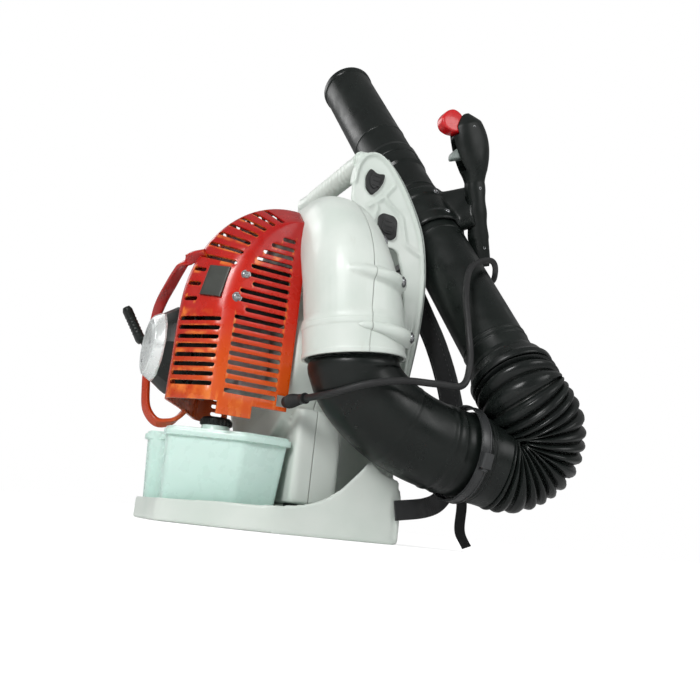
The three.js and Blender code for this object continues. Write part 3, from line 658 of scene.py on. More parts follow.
def spun_metal():
    """Bright metal with fine rings round the crankshaft axis."""
    surface = Surface("spun_metal", (0.84, 0.88, 0.87), 0.26, metallic=0.45)
    x = surface.coordinate("X")
    z = surface.math("SUBTRACT", surface.coordinate("Z"), AXIS.z * MM)
    radius = surface.math("SQRT", surface.math("ADD", surface.math("MULTIPLY", x, x),
                                               surface.math("MULTIPLY", z, z)))
    rings = surface.math("SINE", surface.math("MULTIPLY", radius, 2 * math.pi / (0.55 * MM)))
    surface.bump(surface.ramp(rings, -1, 1), 0.010, 0.6)
    surface.gloss(surface.noise(70, 3), 0.18, 0.34)
    surface.tint(surface.ramp(surface.noise(28, 5), 0.62, 0.82, 0, 0.25), (0.55, 0.58, 0.57))
    return surface.material


def bolt_metal():
    surface = Surface("bolt_metal", (0.36, 0.37, 0.38), 0.32, metallic=0.95)
    surface.tint(surface.ramp(surface.noise(160, 3), 0.5, 0.75, 0, 0.7), (0.12, 0.12, 0.12))
    surface.bump(surface.noise(900, 2), 0.02)
    return surface.material


def webbing(name="webbing", color=(0.012, 0.013, 0.014), period=1.5):
    """Woven tape: crossing ribs, fuzz and uneven wear."""
    surface = Surface(name, color, 0.82)
    weave = surface.math("MAXIMUM", surface.wave("X", period, 0.4), surface.wave("Z", period * 0.8, 0.4))
    surface.tint(surface.ramp(weave, 0.2, 0.9, 0, 0.5), (0.030, 0.032, 0.033))
    surface.tint(surface.ramp(surface.noise(40, 5), 0.5, 0.8, 0, 0.4), (0.045, 0.046, 0.045))
    surface.bump(weave, 0.22)
    surface.bump(surface.noise(1600, 3), 0.08)
    surface.shader.inputs["Sheen Weight"].default_value = 0.35
    surface.shader.inputs["Sheen Roughness"].default_value = 0.4
    return surface.material


def filter_paper():
    surface = Surface("filter_paper", (0.62, 0.55, 0.38), 0.85)
    surface.bump(surface.wave("Z", 3.0), 0.8)
    surface.tint(surface.ramp(surface.noise(50, 4), 0.4, 0.8, 0, 0.6), (0.33, 0.28, 0.18))
    return surface.material


SHELL = shell_plastic()
HOUSING = shell_plastic("housing_plastic", parting=SPLIT_Y)
SHROUD = shroud_plastic()
BLACK = black_plastic()
HOSE = black_plastic("hose_plastic", smooth=0.20, rough=0.36, color=(0.009, 0.011, 0.0105))
RUBBER = rubber()
TANK = tank_plastic()
CAST = cast_metal()
SPUN = spun_metal()
BOLT = bolt_metal()
BAND = moulded("band_steel", (0.030, 0.032, 0.033), 0.22, 0.42, second=(0.06, 0.063, 0.064)).material
GREY = moulded("grey_plastic", (0.20, 0.235, 0.22), 0.35, 0.5, second=(0.27, 0.31, 0.29)).material
RED = moulded("red_plastic", (0.62, 0.006, 0.010), 0.18, 0.32,
              second=(0.50, 0.004, 0.006)).coat(0.4, 0.08).material
# Grey for the strips along the flanks' rims: painted shade.
RIM_SHADE = moulded("rim_shade_band", (0.36, 0.40, 0.375), 0.4, 0.6, second=(0.28, 0.31, 0.29)).material
BADGE = moulded("badge_plastic", (0.030, 0.034, 0.028), 0.38, 0.6, second=(0.055, 0.062, 0.050)).material
WEBBING = webbing()
PADDING = webbing("padding", (0.016, 0.017, 0.018), 2.2)
THREAD = moulded("thread", (0.10, 0.10, 0.10), 0.7, 0.85).material
PAPER = filter_paper()


# ---------------------------------------------------------------- base and back plate
def tray_outline():
    rise = [Vector((y, z, 0)) for y, z in ((-60, 29), (0, 31), (44, 39), (76, 57), (100, 82), (114, 96))]
    sweep_up = [(p.x, p.y) for p in spline(rise, 14)]
    return rounded([(160, 0), (-120, 0), (-120, 26)] + sweep_up + [(128, 84), (160, 74)], 5)


def mirrored(points):
    return points + [(-x, y) for x, y in reversed(points)]


def base_tray():
    """The hollow base, whose sides sweep up to the plate."""
    tray = object_from("back_plate_body", [slab(tray_outline(), "x", -BASE_HALF, BASE_HALF, edge=0.01)])
    plan = rounded(mirrored([(BASE_HALF, 160), (BASE_HALF, -4), (130, -44), (64, -112), (56, -116)]), 14)
    combine(tray, [slab(plan, "z", -1, 260, edge=0.01)], "INTERSECT")
    hollow = rounded(mirrored([(146, 200), (146, -4), (126, -42), (62, -108), (54, -112)]), 11)
    cut(tray, [slab(hollow, "z", 5, 300, edge=0.01)])
    return tray


def plate_sheet():
    """The upright plate, curved to follow a back."""
    face = [(p.x, p.y) for p in spline([(160, 0, 0), (160, 60, 0), (161, 120, 0), (170, 200, 0),
                                        (182, 280, 0), (186, 340, 0), (183, 390, 0), (172, 440, 0)], 40)]
    back = [(y - 5, z) for y, z in reversed(face)]
    sheet = object_from("sheet", [slab(face + back, "x", -BASE_HALF, BASE_HALF, edge=0.01)])
    outline = rounded(mirrored([(BASE_HALF, -2), (BASE_HALF, 62), (124, 78), (118, 200), (PLATE_HALF, 310),
                                (PLATE_HALF, 440)]), 12)
    combine(sheet, [slab(outline, "y", 100, 230, edge=0.01)], "INTERSECT")
    return as_part(sheet)


def flanks():
    """The two side walls with their rims, webs and ribs, and the bar of the carry handle between them."""
    parts = []
    flank = rounded([(158, 190), (170, 260), (162, 350), (148, 391), (96, 391), (92, 420), (70, 440),
                     (69, 473), (74, 500), (86, 520), (103, 527), (120, 519), (143, 496), (165, 464),
                     (184, 426), (192, 390), (196, 340), (192, 280), (180, 200)], 9)
    rim = spline([(0, 71, 470), (0, 74, 496), (0, 86, 517), (0, 103, 523), (0, 119, 516), (0, 141, 493),
                  (0, 162, 462), (0, 180, 425), (0, 189, 388), (0, 193, 340), (0, 189, 280), (0, 178, 206)],
                  60)
    for side in (1, -1):
        inner, outer = sorted((side * (PLATE_HALF - 6), side * PLATE_HALF))
        parts.append(slab(flank, "x", inner, outer, edge=0.8))
        line = [p + ALONG_X * side * (PLATE_HALF - 5) for p in rim]
        parts.append(sweep(line, lambda t: (8, 2.6), ALONG_X, power=4, sides=20))
        face = side * (PLATE_HALF - 1.5)
        for web in ([(96, 442), (118, 462), (150, 440)], [(118, 462), (134, 486)], [(100, 396), (110, 446)],
                    [(150, 440), (160, 402), (186, 392)]):
            web_line = spaced([Vector((face, y, z)) for y, z in web], 24)
            parts.append(sweep(web_line, lambda t: (3.6, 3.4), ALONG_X, sides=16))
        for x in (side * 100, side * 116):
            rib = spline([(x, 128, 6), (x, 150, 60), (x, 153, 118)], 10)
            parts.append(sweep(rib, lambda t: (2, 5), ALONG_X, power=4, sides=12))
    bar = [Vector((x, HANDLE.y, HANDLE.z)) for x in (-PLATE_HALF + 1, PLATE_HALF - 1)]
    parts.append(sweep(spaced(bar, 24), lambda t: (12.5, 14.5), ALONG_Y, sides=28))
    return parts


def back_plate():
    """Base, plate, flanks and carry handle as one moulding."""
    tray = base_tray()
    combine(tray, [plate_sheet()] + flanks(), "UNION")
    melted(tray, 2.0, 3)
    finish_piece(tray, SHELL, slot="shell", replaces=["back_plate"], angle=60)


def carry_grip():
    """The carry handle's sleeve, grooved where the fingers go."""
    length = 2 * PLATE_HALF - 16
    path = [Vector((x * length / 2, HANDLE.y, HANDLE.z)) for x in (-1, 1)]

    def size(t):
        wave = 0.9 * max(0, math.sin((t - 0.5) * 2 * math.pi * 18)) if abs(t - 0.5) < 0.36 else 0
        ends = 1.6 * (2 * abs(t - 0.5)) ** 6
        return 13.6 + wave + ends, 15.6 + wave + ends

    sleeve = sweep(spaced(path, 260), size, ALONG_Y, sides=36)
    piece("carry_handle_sleeve", [sleeve], SHELL, slot="shell", angle=60)


def flank_rim_shade():
    """Grey strips along the front of each flank: painted shade on the flank's rim."""
    rim = [(0, 119, 520.5), (0, 143, 497.5), (0, 165.5, 465), (0, 184.5, 427), (0, 192.8, 390),
           (0, 196.4, 340), (0, 192.6, 280), (0, 182, 212)]
    for side, word in ((1, "right"), (-1, "left")):
        line = [p + ALONG_X * side * (PLATE_HALF - 3) for p in spline(rim, 70)]
        rim_shade_band = sweep(line, lambda t: (3.9, 1.5), ALONG_X, power=4, sides=20)
        piece(f"flank_edge_{word}", [rim_shade_band], RIM_SHADE, slot="grey")


def flank_inserts():
    upper = [(88, 466), (86, 484), (92, 498), (104, 492), (116, 496), (114, 482), (108, 470), (98, 458)]
    lower = [(112, 408), (112, 432), (118, 438), (136, 438), (142, 432), (142, 408), (136, 402), (118, 402)]
    for side, word in ((1, "right"), (-1, "left")):
        inner, outer = sorted((side * (PLATE_HALF - 0.5), side * (PLATE_HALF + 3.6)))
        for level, outline in (("upper", upper), ("lower", lower)):
            shape = rounded(outline, 5)
            centre = sum(shape, Vector((0, 0))) / len(shape)
            parts = [slab(shape, "x", inner, outer, edge=1.2)]
            step_in, step_out = sorted((side * (PLATE_HALF + 3.0), side * (PLATE_HALF + 5.2)))
            small = [centre + (p - centre) * 0.62 for p in shape]
            parts.append(slab(small, "x", step_in, step_out, edge=1.0))
            for k in (-1, 0, 1):
                z = centre.y + k * 7
                parts.append(block((step_in, centre.x - 6, z - 1.2),
                                   (step_out + side * 0.6, centre.x + 6, z + 1.2), 0.4, 0.8))
            piece(f"insert_{level}_{word}", parts, RUBBER, slot="rubber",
                  replaces=[f"flank_insert_{level}_{word}"])


def buffers():
    for i, (x, y) in enumerate(((-86, 44), (86, 44), (-86, 78), (86, 78))):
        profile = [(0, 5.3), (12, 5.3), (12, 10), (9, 16), (9, 25), (12, 31), (12, 35.7), (0, 35.7)]
        piece(f"buffer_{i + 1}_rubber", [turned(profile, Vector((x, y, 0)), ALONG_Z, 40, corner=1.5)], RUBBER,
              slot="rubber", replaces=[f"buffer_{i + 1}"])


# ---------------------------------------------------------------- fan housing
# Stations of the duct, from the outlet round the fan: the centre, then half its width and half its depth.
SCROLL = [
    (170, 64, 212, 56, 56), (170, 57, 266, 58, 58), (161, 46, 322, 57, 52), (118, 46, 376, 53, 46),
    (48, 52, 396, 50, 43), (-36, 52, 382, 47, 42), (-108, 52, 322, 42, 41), (-132, 52, 236, 37, 39),
    (-108, 53, 158, 33, 38), (-48, 54, 116, 29, 37), (24, 54, 114, 27, 36), (80, 54, 146, 24, 35),
]


def scroll(shrink=0.0, extension=0.0, power=2.4):
    """The duct that grows round the fan and ends, pointing down, at the outlet."""
    centres = [Vector(s[:3]) for s in SCROLL]
    if extension:
        centres.insert(0, centres[0] + Vector((0, 1, -extension)))
    sizes = [SCROLL[0][3:]] * (1 if extension else 0) + [s[3:] for s in SCROLL]
    count = 110
    path = spline(centres, count, even=False)
    radii = spline([Vector((a, b, i * 40)) for i, (a, b) in enumerate(sizes)], count, even=False)

    def section(t):
        size = radii[min(count - 1, round(t * (count - 1)))]
        return size.y - shrink, size.x - shrink

    return sweep(path, section, ALONG_Y, power=power, sides=40)


def on_axis(y=0.0):
    return Vector((AXIS.x, y, AXIS.z))


def disc(radius, low, high):
    return [(0, low), (radius, low), (radius, high), (0, high)]


# Height of each screw boss on the outside of the duct, and where round the duct it starts and ends.
BOSSES = [(236, -20, 58), (302, -26, 54), (362, -30, 50)]
# How far round the duct each screw sits back from the end of its boss, and how far out of the duct.
BOSS_SCREW = (15, 11.5)


def on_duct(z, degrees, beyond=0.0):
    """A place on the outside of the duct's right side, and the direction straight out of it."""
    stations = sorted(SCROLL[:4], key=lambda s: s[2])
    low = max((s for s in stations if s[2] <= z), key=lambda s: s[2])
    high = min((s for s in stations if s[2] > z), key=lambda s: s[2])
    t = (z - low[2]) / (high[2] - low[2])
    x, y, _, a, b = [p + (q - p) * t for p, q in zip(low, high)]
    angle = math.radians(degrees)
    out = Vector((math.cos(angle), math.sin(angle), 0))
    fuller = [math.copysign(abs(c) ** (2 / 2.4), c) for c in (out.x, out.y)]
    return Vector((x + (a + beyond) * fuller[0], y + (b + beyond) * fuller[1], z)), out


def housing_boss(z, start, end):
    """A lens-shaped ledge that grows out of the duct and ends in a short round stub."""
    path = [on_duct(z, start + (end - start) * k / 24, 3)[0] for k in range(25)]

    def size(t):
        grow = math.sin(math.pi / 2 * min(1, t * 1.3)) ** 0.7
        return 1 + 8.5 * grow, 1 + 9.0 * grow

    seat, _ = on_duct(z, end, 3)
    way = (path[-1] - path[-2]).normalized()
    return [sweep(path, size, ALONG_Z, power=2.3, sides=28),
            turned([(0, -5), (9.5, -5), (9.5, 2), (0, 2)], seat, way, 28, corner=1)]


def fan_housing():
    """Two halves of one moulding, with their joint line, screw bosses and outlet ring."""
    body = [scroll(), turned(disc(DRUM_RADIUS, 12, 90), on_axis(), ALONG_Y, 96, corner=4),
            block((-112, 28, 36), (112, 90, 150), 3, 8)]
    outlet = Vector((170, 64.4, 208))
    outlet_axis = Vector((0, -6, 48)).normalized()
    body.append(turned([(50, 36), (61.5, 36), (62.5, 39), (62.5, 44), (59, 50), (50, 50)], outlet,
                       outlet_axis, 64))
    body += [boss for place in BOSSES for boss in housing_boss(*place)]
    housing = object_from("fan_housing_rear_half", body)
    melted(housing, 2.2, 3)
    hollows = [scroll(shrink=3, extension=8), turned(disc(DRUM_RADIUS - 3, 15, 87), on_axis(), ALONG_Y, 64),
               turned(disc(84, 70, 110), on_axis(), ALONG_Y, 64), block((-108, 32, 30), (108, 88, 66), 1, 3),
               shroud_body(-0.4)]
    for hollow in hollows:
        cut(housing, [hollow], "MANIFOLD")
    front = housing.copy()
    front.data = housing.data.copy()
    front.name = "fan_housing_front_half"
    bpy.context.scene.collection.objects.link(front)
    for half, keep_above, node in ((housing, False, "fan_housing_rear"), (front, True, "fan_housing_front")):
        bm = bmesh.new()
        bm.from_mesh(half.data)
        edge = (SPLIT_Y + (0.2 if keep_above else -0.2)) * MM
        everything = bm.verts[:] + bm.edges[:] + bm.faces[:]
        result = bmesh.ops.bisect_plane(bm, geom=everything, plane_co=(0, edge, 0), plane_no=(0, 1, 0),
                                        clear_inner=keep_above, clear_outer=not keep_above)
        rim = [e for e in result["geom_cut"] if isinstance(e, bmesh.types.BMEdge)]
        bmesh.ops.triangle_fill(bm, use_beauty=True, edges=rim)
        bm.to_mesh(half.data)
        bm.free()
        finish_piece(half, HOUSING, slot="shell", replaces=[node], angle=45)
    collar = [turned([(59, 0), (62.6, 0), (63, 1), (63, 5), (62, 7), (62, 33), (63, 35), (63, 40), (59, 40)],
                     outlet, outlet_axis, 96, corner=0.8)]
    piece("outlet_ring", collar, HOUSING, slot="shell", replaces=["outlet_collar"])


def housing_screws():
    """A screw near the end of each boss, and one on the duct's shoulder."""
    parts = []
    for z, _, end in BOSSES:
        seat, out = on_duct(z, end - BOSS_SCREW[0], BOSS_SCREW[1])
        parts += screw(seat, out, 5.0, 2.5)
    place, out = on_duct(326, 14)
    parts += screw(place - out * 1.2, out, 3.6, 2.0)
    piece("housing_screws", parts, BOLT, slot="steel")


# ---------------------------------------------------------------- engine shroud
# Outline of the shroud seen from above: across, and how far it reaches back.
SHROUD_PLAN = [(SHROUD_HALF, 0), (SHROUD_HALF, 94), (72, 136), (56, 134), (0, 103), (-60, 73), (-104, 52),
               (-SHROUD_HALF, 36), (-SHROUD_HALF, 0)]
# How high its top arches above the walls, from its right side to its left.
SHROUD_RISE = [(SHROUD_HALF, 131), (72, 163), (0, 163), (-60, 155), (-104, 135), (-SHROUD_HALF, 110)]


def shroud_rise(x):
    for (x0, r0), (x1, r1) in zip(SHROUD_RISE, SHROUD_RISE[1:]):
        if x >= x1:
            return r0 + (r1 - r0) * (x0 - x) / (x0 - x1)
    return SHROUD_RISE[-1][1]


def shroud_body(inward, bottom=SHROUD_BOTTOM):
    """Upright walls round the plan, which arch forward over the engine as quarter ellipses."""
    plan = [Vector(p) for p in SHROUD_PLAN]
    corners = rounded(plan, 15, steps=6, closed=False)
    outline = [p.to_2d() for p in spaced([p.to_3d() for p in corners], 130)]
    outline = inset(outline, inward)
    rings = []
    levels = 30
    for p in outline:
        half = SHROUD_HALF - inward
        x = max(-half, min(half, p.x))
        depth = max(p.y, 0.0)
        rise = shroud_rise(max(-SHROUD_HALF, min(SHROUD_HALF, p.x))) - inward
        ring = [Vector((x, SHROUD_FRONT, bottom))]
        walls = [bottom + (SHROUD_SPRING - bottom) * k / 5 for k in range(5)]
        ring += [Vector((x, SHROUD_FRONT - depth, z)) for z in walls]
        for k in range(levels + 1):
            angle = math.pi / 2 * k / levels
            ring.append(Vector((x, SHROUD_FRONT - depth * math.cos(angle),
                                SHROUD_SPRING + rise * math.sin(angle))))
        rings.append(ring)
    return loft(rings)


def capsule(centre, along, up, out, length, height, depth=16):
    """A slot with round ends, as a body to cut with."""
    half = length / 2 - height / 2
    outline = []
    for end in (1, -1):
        for k in range(7):
            angle = math.pi * (k / 6 - 0.5)
            outline.append((end * (half + math.cos(angle) * height / 2), end * math.sin(angle) * height / 2))
    rings = [[centre + along * u + up * v + out * s for u, v in outline] for s in (-depth / 2, depth / 2)]
    return loft(rings)


def chamfer_frame(turn, height):
    """Middle and directions of a place on the broad corner face; `turn` grows over the arch."""
    ends = []
    for x, depth in (SHROUD_PLAN[2], SHROUD_PLAN[1]):
        rise = shroud_rise(x)
        z = (SHROUD_SPRING if turn > 0 else height) + rise * math.sin(turn)
        ends.append(Vector((x, SHROUD_FRONT - depth * math.cos(turn), z)))
    along = (ends[1] - ends[0])
    upwards = Vector((0, math.sin(turn), math.cos(turn)))
    out = along.cross(upwards).normalized()
    length = along.length
    along.normalize()
    return (ends[0] + ends[1]) / 2, along, out.cross(along), out, length


def shroud_slots():
    """Every cooling slot: the side face, the corner face and its arch, and the left side."""
    slots = []
    height = 5.6
    rise = SHROUD_RISE[0][1] - 16
    for i in range(19):
        z = 154.5 + i * SLOT_PITCH
        lift = max(0, z - SHROUD_SPRING + 4) / rise
        rear = SHROUD_FRONT - (SHROUD_PLAN[1][1] - 13) * math.sqrt(max(0, 1 - lift * lift))
        rear = min(rear, -22) + (12 if i in (9, 12) else 0)
        front = -7
        middle = Vector((SHROUD_HALF, (rear + front) / 2, z))
        slots.append(capsule(middle, ALONG_Y, ALONG_Z, ALONG_X, front - rear, height))
        slots.append(capsule(Vector((-SHROUD_HALF, -9, z)), ALONG_Y, ALONG_Z, ALONG_X, 18, height))
    places = [(0, 160 + i * SLOT_PITCH) for i in range(8)] + [(0.055 + i * 0.128, 0) for i in range(10)]
    for k, (turn, z) in enumerate(places):
        centre, along, up, out, length = chamfer_frame(turn, z)
        beside_badge = 8 <= k <= 10
        reach = length * (0.30 if beside_badge else 0.92)
        shift = -length * 0.31 if beside_badge else -length * 0.02
        slots.append(capsule(centre + along * shift, along, up, out, reach, height))
    # The rear face carries a row too, on either side of the starter.
    for i in range(17):
        turn = 0.05 + i * 0.085 if i > 7 else 0
        z = SHROUD_SPRING if turn else 165 + i * SLOT_PITCH
        for x, reach in ((38, 34), (-84, 22)):
            depth = 123 if x > 0 else 61
            centre = Vector((x, SHROUD_FRONT - depth * math.cos(turn), z + 155 * math.sin(turn)))
            along = Vector((0.9, -0.43, 0)).normalized()
            if turn == 0 and abs(z - AXIS.z) < 66:
                continue
            upwards = Vector((0, math.sin(turn), math.cos(turn)))
            out = along.cross(upwards).normalized()
            slots.append(capsule(centre, along, out.cross(along), out, reach, height, 34))
    return slots


def engine_shroud():
    shroud = object_from("engine_cover", [shroud_body(0)])
    skirt = object_from("skirt", [shroud_body(0, bottom=126)])
    combine(skirt, [block((60, -78, 120), (130, -36, SHROUD_BOTTOM + 1), 0.2, 6)], "INTERSECT")
    combine(shroud, [as_part(skirt)], "UNION")
    cut(shroud, [shroud_body(3, bottom=100)])
    cut(shroud, [turned(disc(59.5, -160, -30), on_axis(), ALONG_Y, 64),
                 block((104, -6, 146), (130, 20, 160), 0.5, 3)])
    cut(shroud, shroud_slots())
    bevelled(shroud, 0.7)
    finish_piece(shroud, SHROUD, slot="orange", replaces=["engine_shroud"], angle=50)


def intake_shade_liner():
    """A ribbed black sheet on the inside of the back plate, where the fan draws its air: painted shade for
    the dark gap behind the fan housing.
    """
    parts = [block((-97, 154, 196), (97, 157.6, 384), 0.6, 8)]
    lean = Matrix.Rotation(math.radians(-3), 4, "X")
    for k in range(15):
        z = 206 + k * 12
        parts.append(sweep([Vector((-90, 154, z)), Vector((90, 154, z))], lambda t: (1.6, 2.4), ALONG_Y,
                           power=3, sides=12))
    hinge = Matrix.Translation(Vector((0, 156, 196)))
    place = Matrix.Translation(Vector((0, 4, 0))) @ hinge @ lean @ hinge.inverted()
    piece("intake_shade_mat", [moved(part, place) for part in parts], BLACK, "frame", "black")


def shroud_trim():
    """The blank plate on the corner face and the screws on the side face."""
    centre, along, up, out, length = chamfer_frame(0.22, 0)
    plate = sweep([centre + along * 9 + up * s + out * 0.4 for s in (-20, 20)],
                  lambda t: (length * 0.24, 1.6), along, power=8, sides=32)
    piece("blank_plate", [plate], BADGE, slot="black")
    screws = []
    for y, z in ((-66, 298), (-73, 268)):
        screws += screw(Vector((115.6, y, z)), ALONG_X, 4.6, 2.2)
    piece("shroud_screws", screws, BOLT, slot="steel")


def starter_guard():
    points = [(76, -108, 325), (62, -120, 322), (46, -126, 317.5), (22, -127.5, 310.5), (-8, -128, 300),
              (-42, -129, 285), (-68, -129, 262), (-72, -128, 215), (-70, -125, 172), (-66, -119, 140),
              (-58, -106, 125), (-48, -94, 125), (-36, -84, 132), (-30, -76, 143)]
    band = sweep(spline(points, 90), lambda t: (7.4, 3.2), Vector((1, 0.3, 0.4)), power=4, sides=20)
    piece("guard_band", [band], SHROUD, slot="orange", replaces=["starter_guard"], angle=60)


# ---------------------------------------------------------------- recoil starter
def starter_housing():
    """A twelve-sided cone with its ring of vents."""
    outer = [(0, -143), (38, -143), (58, -115), (58, -62), (0, -62)]
    cover = object_from("starter_housing", [turned(outer, on_axis(), ALONG_Y, 12)])
    inner = [(0, -140), (36, -140), (55, -113), (55, -67), (0, -67)]
    cut(cover, [turned(inner, on_axis(), ALONG_Y, 12)])
    vents = []
    for k in range(12):
        angle = 2 * math.pi * (k + 0.5) / 12
        out = Vector((math.cos(angle), 0, math.sin(angle)))
        side = ALONG_Y.cross(out)
        vents.append(capsule(on_axis(-100) + out * 56, side, ALONG_Y, out, 16, 3.2, 12))
        vents.append(capsule(on_axis(-92) + out * 56, side, ALONG_Y, out, 16, 3.2, 12))
    cut(cover, vents)
    cut(cover, [block((-51, -150, 194), (-39, -120, 226), 0.5, 4),
                turned(disc(9, -150, -130), on_axis(), ALONG_Y, 32)])
    bevelled(cover, 1.1, segments=3, angle=22)
    finish_piece(cover, BLACK, slot="black", replaces=["starter_cover"], angle=28)


def starter_face():
    """The bright disc with its screws, and the facets round it."""
    face = [(0, -147), (28, -147), (30, -146.2), (31.5, -146.8), (35, -146.2), (37, -145), (37, -143.3),
            (0, -143.3)]
    piece("starter_plate", [turned(face, on_axis(), ALONG_Y, 96, corner=0.5)], SPUN, slot="steel",
          replaces=["starter_disc"])
    rim = [(37.6, -144.2), (39, -144.2), (45.2, -135.3), (45.2, -132.5), (44, -131.8), (37.6, -141)]
    piece("starter_rim", [turned(rim, on_axis(), ALONG_Y, 12, corner=0.4)], SPUN, slot="steel")
    piece("starter_plate_screws", [part for k in range(3) for part in screw(
        on_axis(-146.6) + Vector((math.cos(2.1 * k), 0, math.sin(2.1 * k))) * 22, -ALONG_Y, 2.6, 1.2)], BOLT)


def pull_start():
    """The end of the starter's rope and its grip."""
    root = Vector((-45, -137, 212))
    way = Vector((0, -0.55, 0.835)).normalized()
    rope_path = spaced([root - way * 12, root + way * 13.7], 40)
    twist = sweep(rope_path, lambda t: (1.8 + 0.15 * math.sin(t * 60), 1.8), ALONG_X, sides=12)
    rope = piece("pull_rope", [twist], WEBBING, None, "fabric", ["starter_rope"])
    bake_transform(rope)
    grip_path = spaced([root + way * 14, root + way * 66], 60)

    def waist(t):
        ends = min(1.0, 6 * min(t, 1 - t) + 0.45) ** 0.5
        ribs = 0.35 * math.sin(t * 70) if 0.25 < t < 0.75 else 0
        return (9.8 - 2.2 * math.sin(math.pi * t) + ribs) * ends, (6.2 + ribs) * ends

    grip = sweep(grip_path, waist, ALONG_X, power=2.6, sides=32)
    piece("pull_grip", [grip], BLACK, "grip", "black", ["starter_grip"], 60)


# ---------------------------------------------------------------- fuel tank and controls
def fuel_tank():
    """A moulded tank that narrows downwards, with a lip round its top and the filler's neck."""
    plan = rounded([(110, 24), (110, -35), (62, -117), (40, -117), (32, -102), (-32, -102), (-40, -117),
                    (-62, -117), (-110, -35), (-110, 9), (94, 9), (97, 24)], 6, steps=5)
    about = Vector((0, -45))
    levels = [(5.4, 0.83), (6.2, 0.85), (9, 0.863), (40, 0.89), (80, 0.930), (96, 0.946), (99.5, 0.950),
              (100.3, 0.958), (100.6, 0.996), (101.4, 1.0), (106.6, 1.0), (107.6, 0.996), (107.9, 0.972),
              (108.8, 0.968), (110.4, 0.964), (111, 0.955)]
    shell = loft([[(about + (p - about) * scale).to_3d() + ALONG_Z * z for p in plan] for z, scale in levels])
    tank = object_from("tank_body", [shell])
    neck = turned([(0, 105), (19, 105), (17.4, 112), (17, 114), (17, 116), (0, 116)], FILLER, ALONG_Z, 48)
    combine(tank, [neck], "UNION")
    cut(tank, [turned(disc(14, 96, 121), FILLER, ALONG_Z, 40)])
    finish_piece(tank, TANK, slot="tank", replaces=["fuel_tank"], angle=35)


def filler_cap():
    """A screw cap with ribs for the fingers."""
    cap = [(0, 116.4), (18, 116.4), (18.6, 118), (18.6, 123.5), (16.5, 126), (9, 127), (0, 127)]
    cap_parts = [turned(cap, FILLER, ALONG_Z, 64, corner=0.8)]
    for k in range(24):
        out = Vector((math.cos(math.pi * k / 12), math.sin(math.pi * k / 12), 0))
        cap_parts.append(pipe([FILLER + out * 18.3 + ALONG_Z * z for z in (117.2, 122.8)], 1.15, 8))
    piece("filler_cap", cap_parts, BLACK, "fuel_cap", "black", ["fuel_cap"])


def left_controls():
    refined("control_panel", BLACK, 0.8)
    refined("choke_lever", BLACK, 1.0)
    bulb = [(0, 106), (4, 106), (4, 119), (7.5, 119), (7.5, 125), (6.6, 128), (4, 130.4), (0, 131)]
    dome = turned(bulb, Vector((0, 2.5, 128)), -ALONG_X, 40, corner=0.8)
    piece("primer_dome", [dome], RUBBER, "primer", "rubber", ["primer_bulb"])


# ---------------------------------------------------------------- engine and fan, seen through the slots
def engine():
    for node in ("crankshaft", "flywheel", "crankcase", "muffler", "carburettor"):
        refined(node, CAST, 0.6)
    for node, material, bevel in (
        ("piston", SPUN, 0.4), ("spark_plug", SPUN, 0.4), ("starter_reel", GREY, 0.5),
        ("impeller", GREY, 0.5), ("ignition_coil", BLACK, 1.5), ("plug_boot", RUBBER, 0.8),
        ("air_filter_element", PAPER, 1.2), ("air_filter_cover", BLACK, 1.5), ("intake_grille", BLACK, 0.8),
    ):
        refined(node, material, bevel)
    centre = Vector((6, -32, 0))
    fins = [turned([(21.4, 255), (26, 255), (26, 331), (7.2, 335), (7.2, 344), (16, 344), (26, 340),
                    (27, 255)], centre, ALONG_Z, 40, corner=0.4)]
    for i in range(11):
        z = 257 + i * 7
        fins.append(turned([(22, z), (30, z + 0.4), (30, z + 1.6), (22, z + 2.2)], centre, ALONG_Z, 40,
                           corner=0.3))
    piece("cooling_fins", fins, CAST, slot="metal", replaces=["cylinder"])


# ---------------------------------------------------------------- air path
def elbow():
    path = spline(ELBOW_PATH, 90)
    length = length_of(path)

    def size(t):
        s = t * length
        collar = 3.2 * (1 / (1 + ((s - 10) / 5) ** 4)) * (1 if s < 30 else 0)
        ridges = 1.4 * sum(math.exp(-((s - at) / 2.2) ** 2) for at in (length - 38, length - 26))
        seam = 0.8 * math.exp(-((s - length * 0.5) / 1.6) ** 2)
        return ELBOW_RADIUS + ridges + collar * 0.9 + seam

    outer = object_from("elbow_duct", [pipe(path, size, 80)])
    longer = [path[0] - (path[1] - path[0]) * 3] + path + [path[-1] * 2 - path[-2]]
    cut(outer, [pipe(longer, ELBOW_RADIUS - 3, 48)])
    finish_piece(outer, BLACK, slot="black", replaces=["elbow"], angle=40)


def clamp():
    """A worm-drive band round the joint of elbow and hose."""
    path = spline(ELBOW_PATH, 120)
    at = round(0.98 * 119)
    centre, axis = path[at], tangents(path)[at]
    band = [turned([(58, -7), (60, -7), (60, 7), (58, 7)], centre, axis, 96, corner=0.5)]
    for s in (-5.4, 5.4):
        band.append(turned([(59.5, s - 0.8), (60.8, s - 0.8), (60.8, s + 0.8), (59.5, s + 0.8)], centre, axis,
                           96, corner=0.3))
    out = Vector((1, 0, -0.2))
    out = (out - axis * out.dot(axis)).normalized()
    side = axis.cross(out)
    worm = centre + out * 64
    band.append(sweep([worm - side * 10, worm + side * 8], lambda t: (7, 5.2), axis, power=4, sides=28))
    band.append(turned([(0, 8), (4.4, 8), (4.4, 11.5), (3.2, 12), (3.2, 10.4), (0, 10.4)], worm, side, 6))
    piece("hose_clamp", band, BAND, slot="black", replaces=["hose_clamp_elbow"])


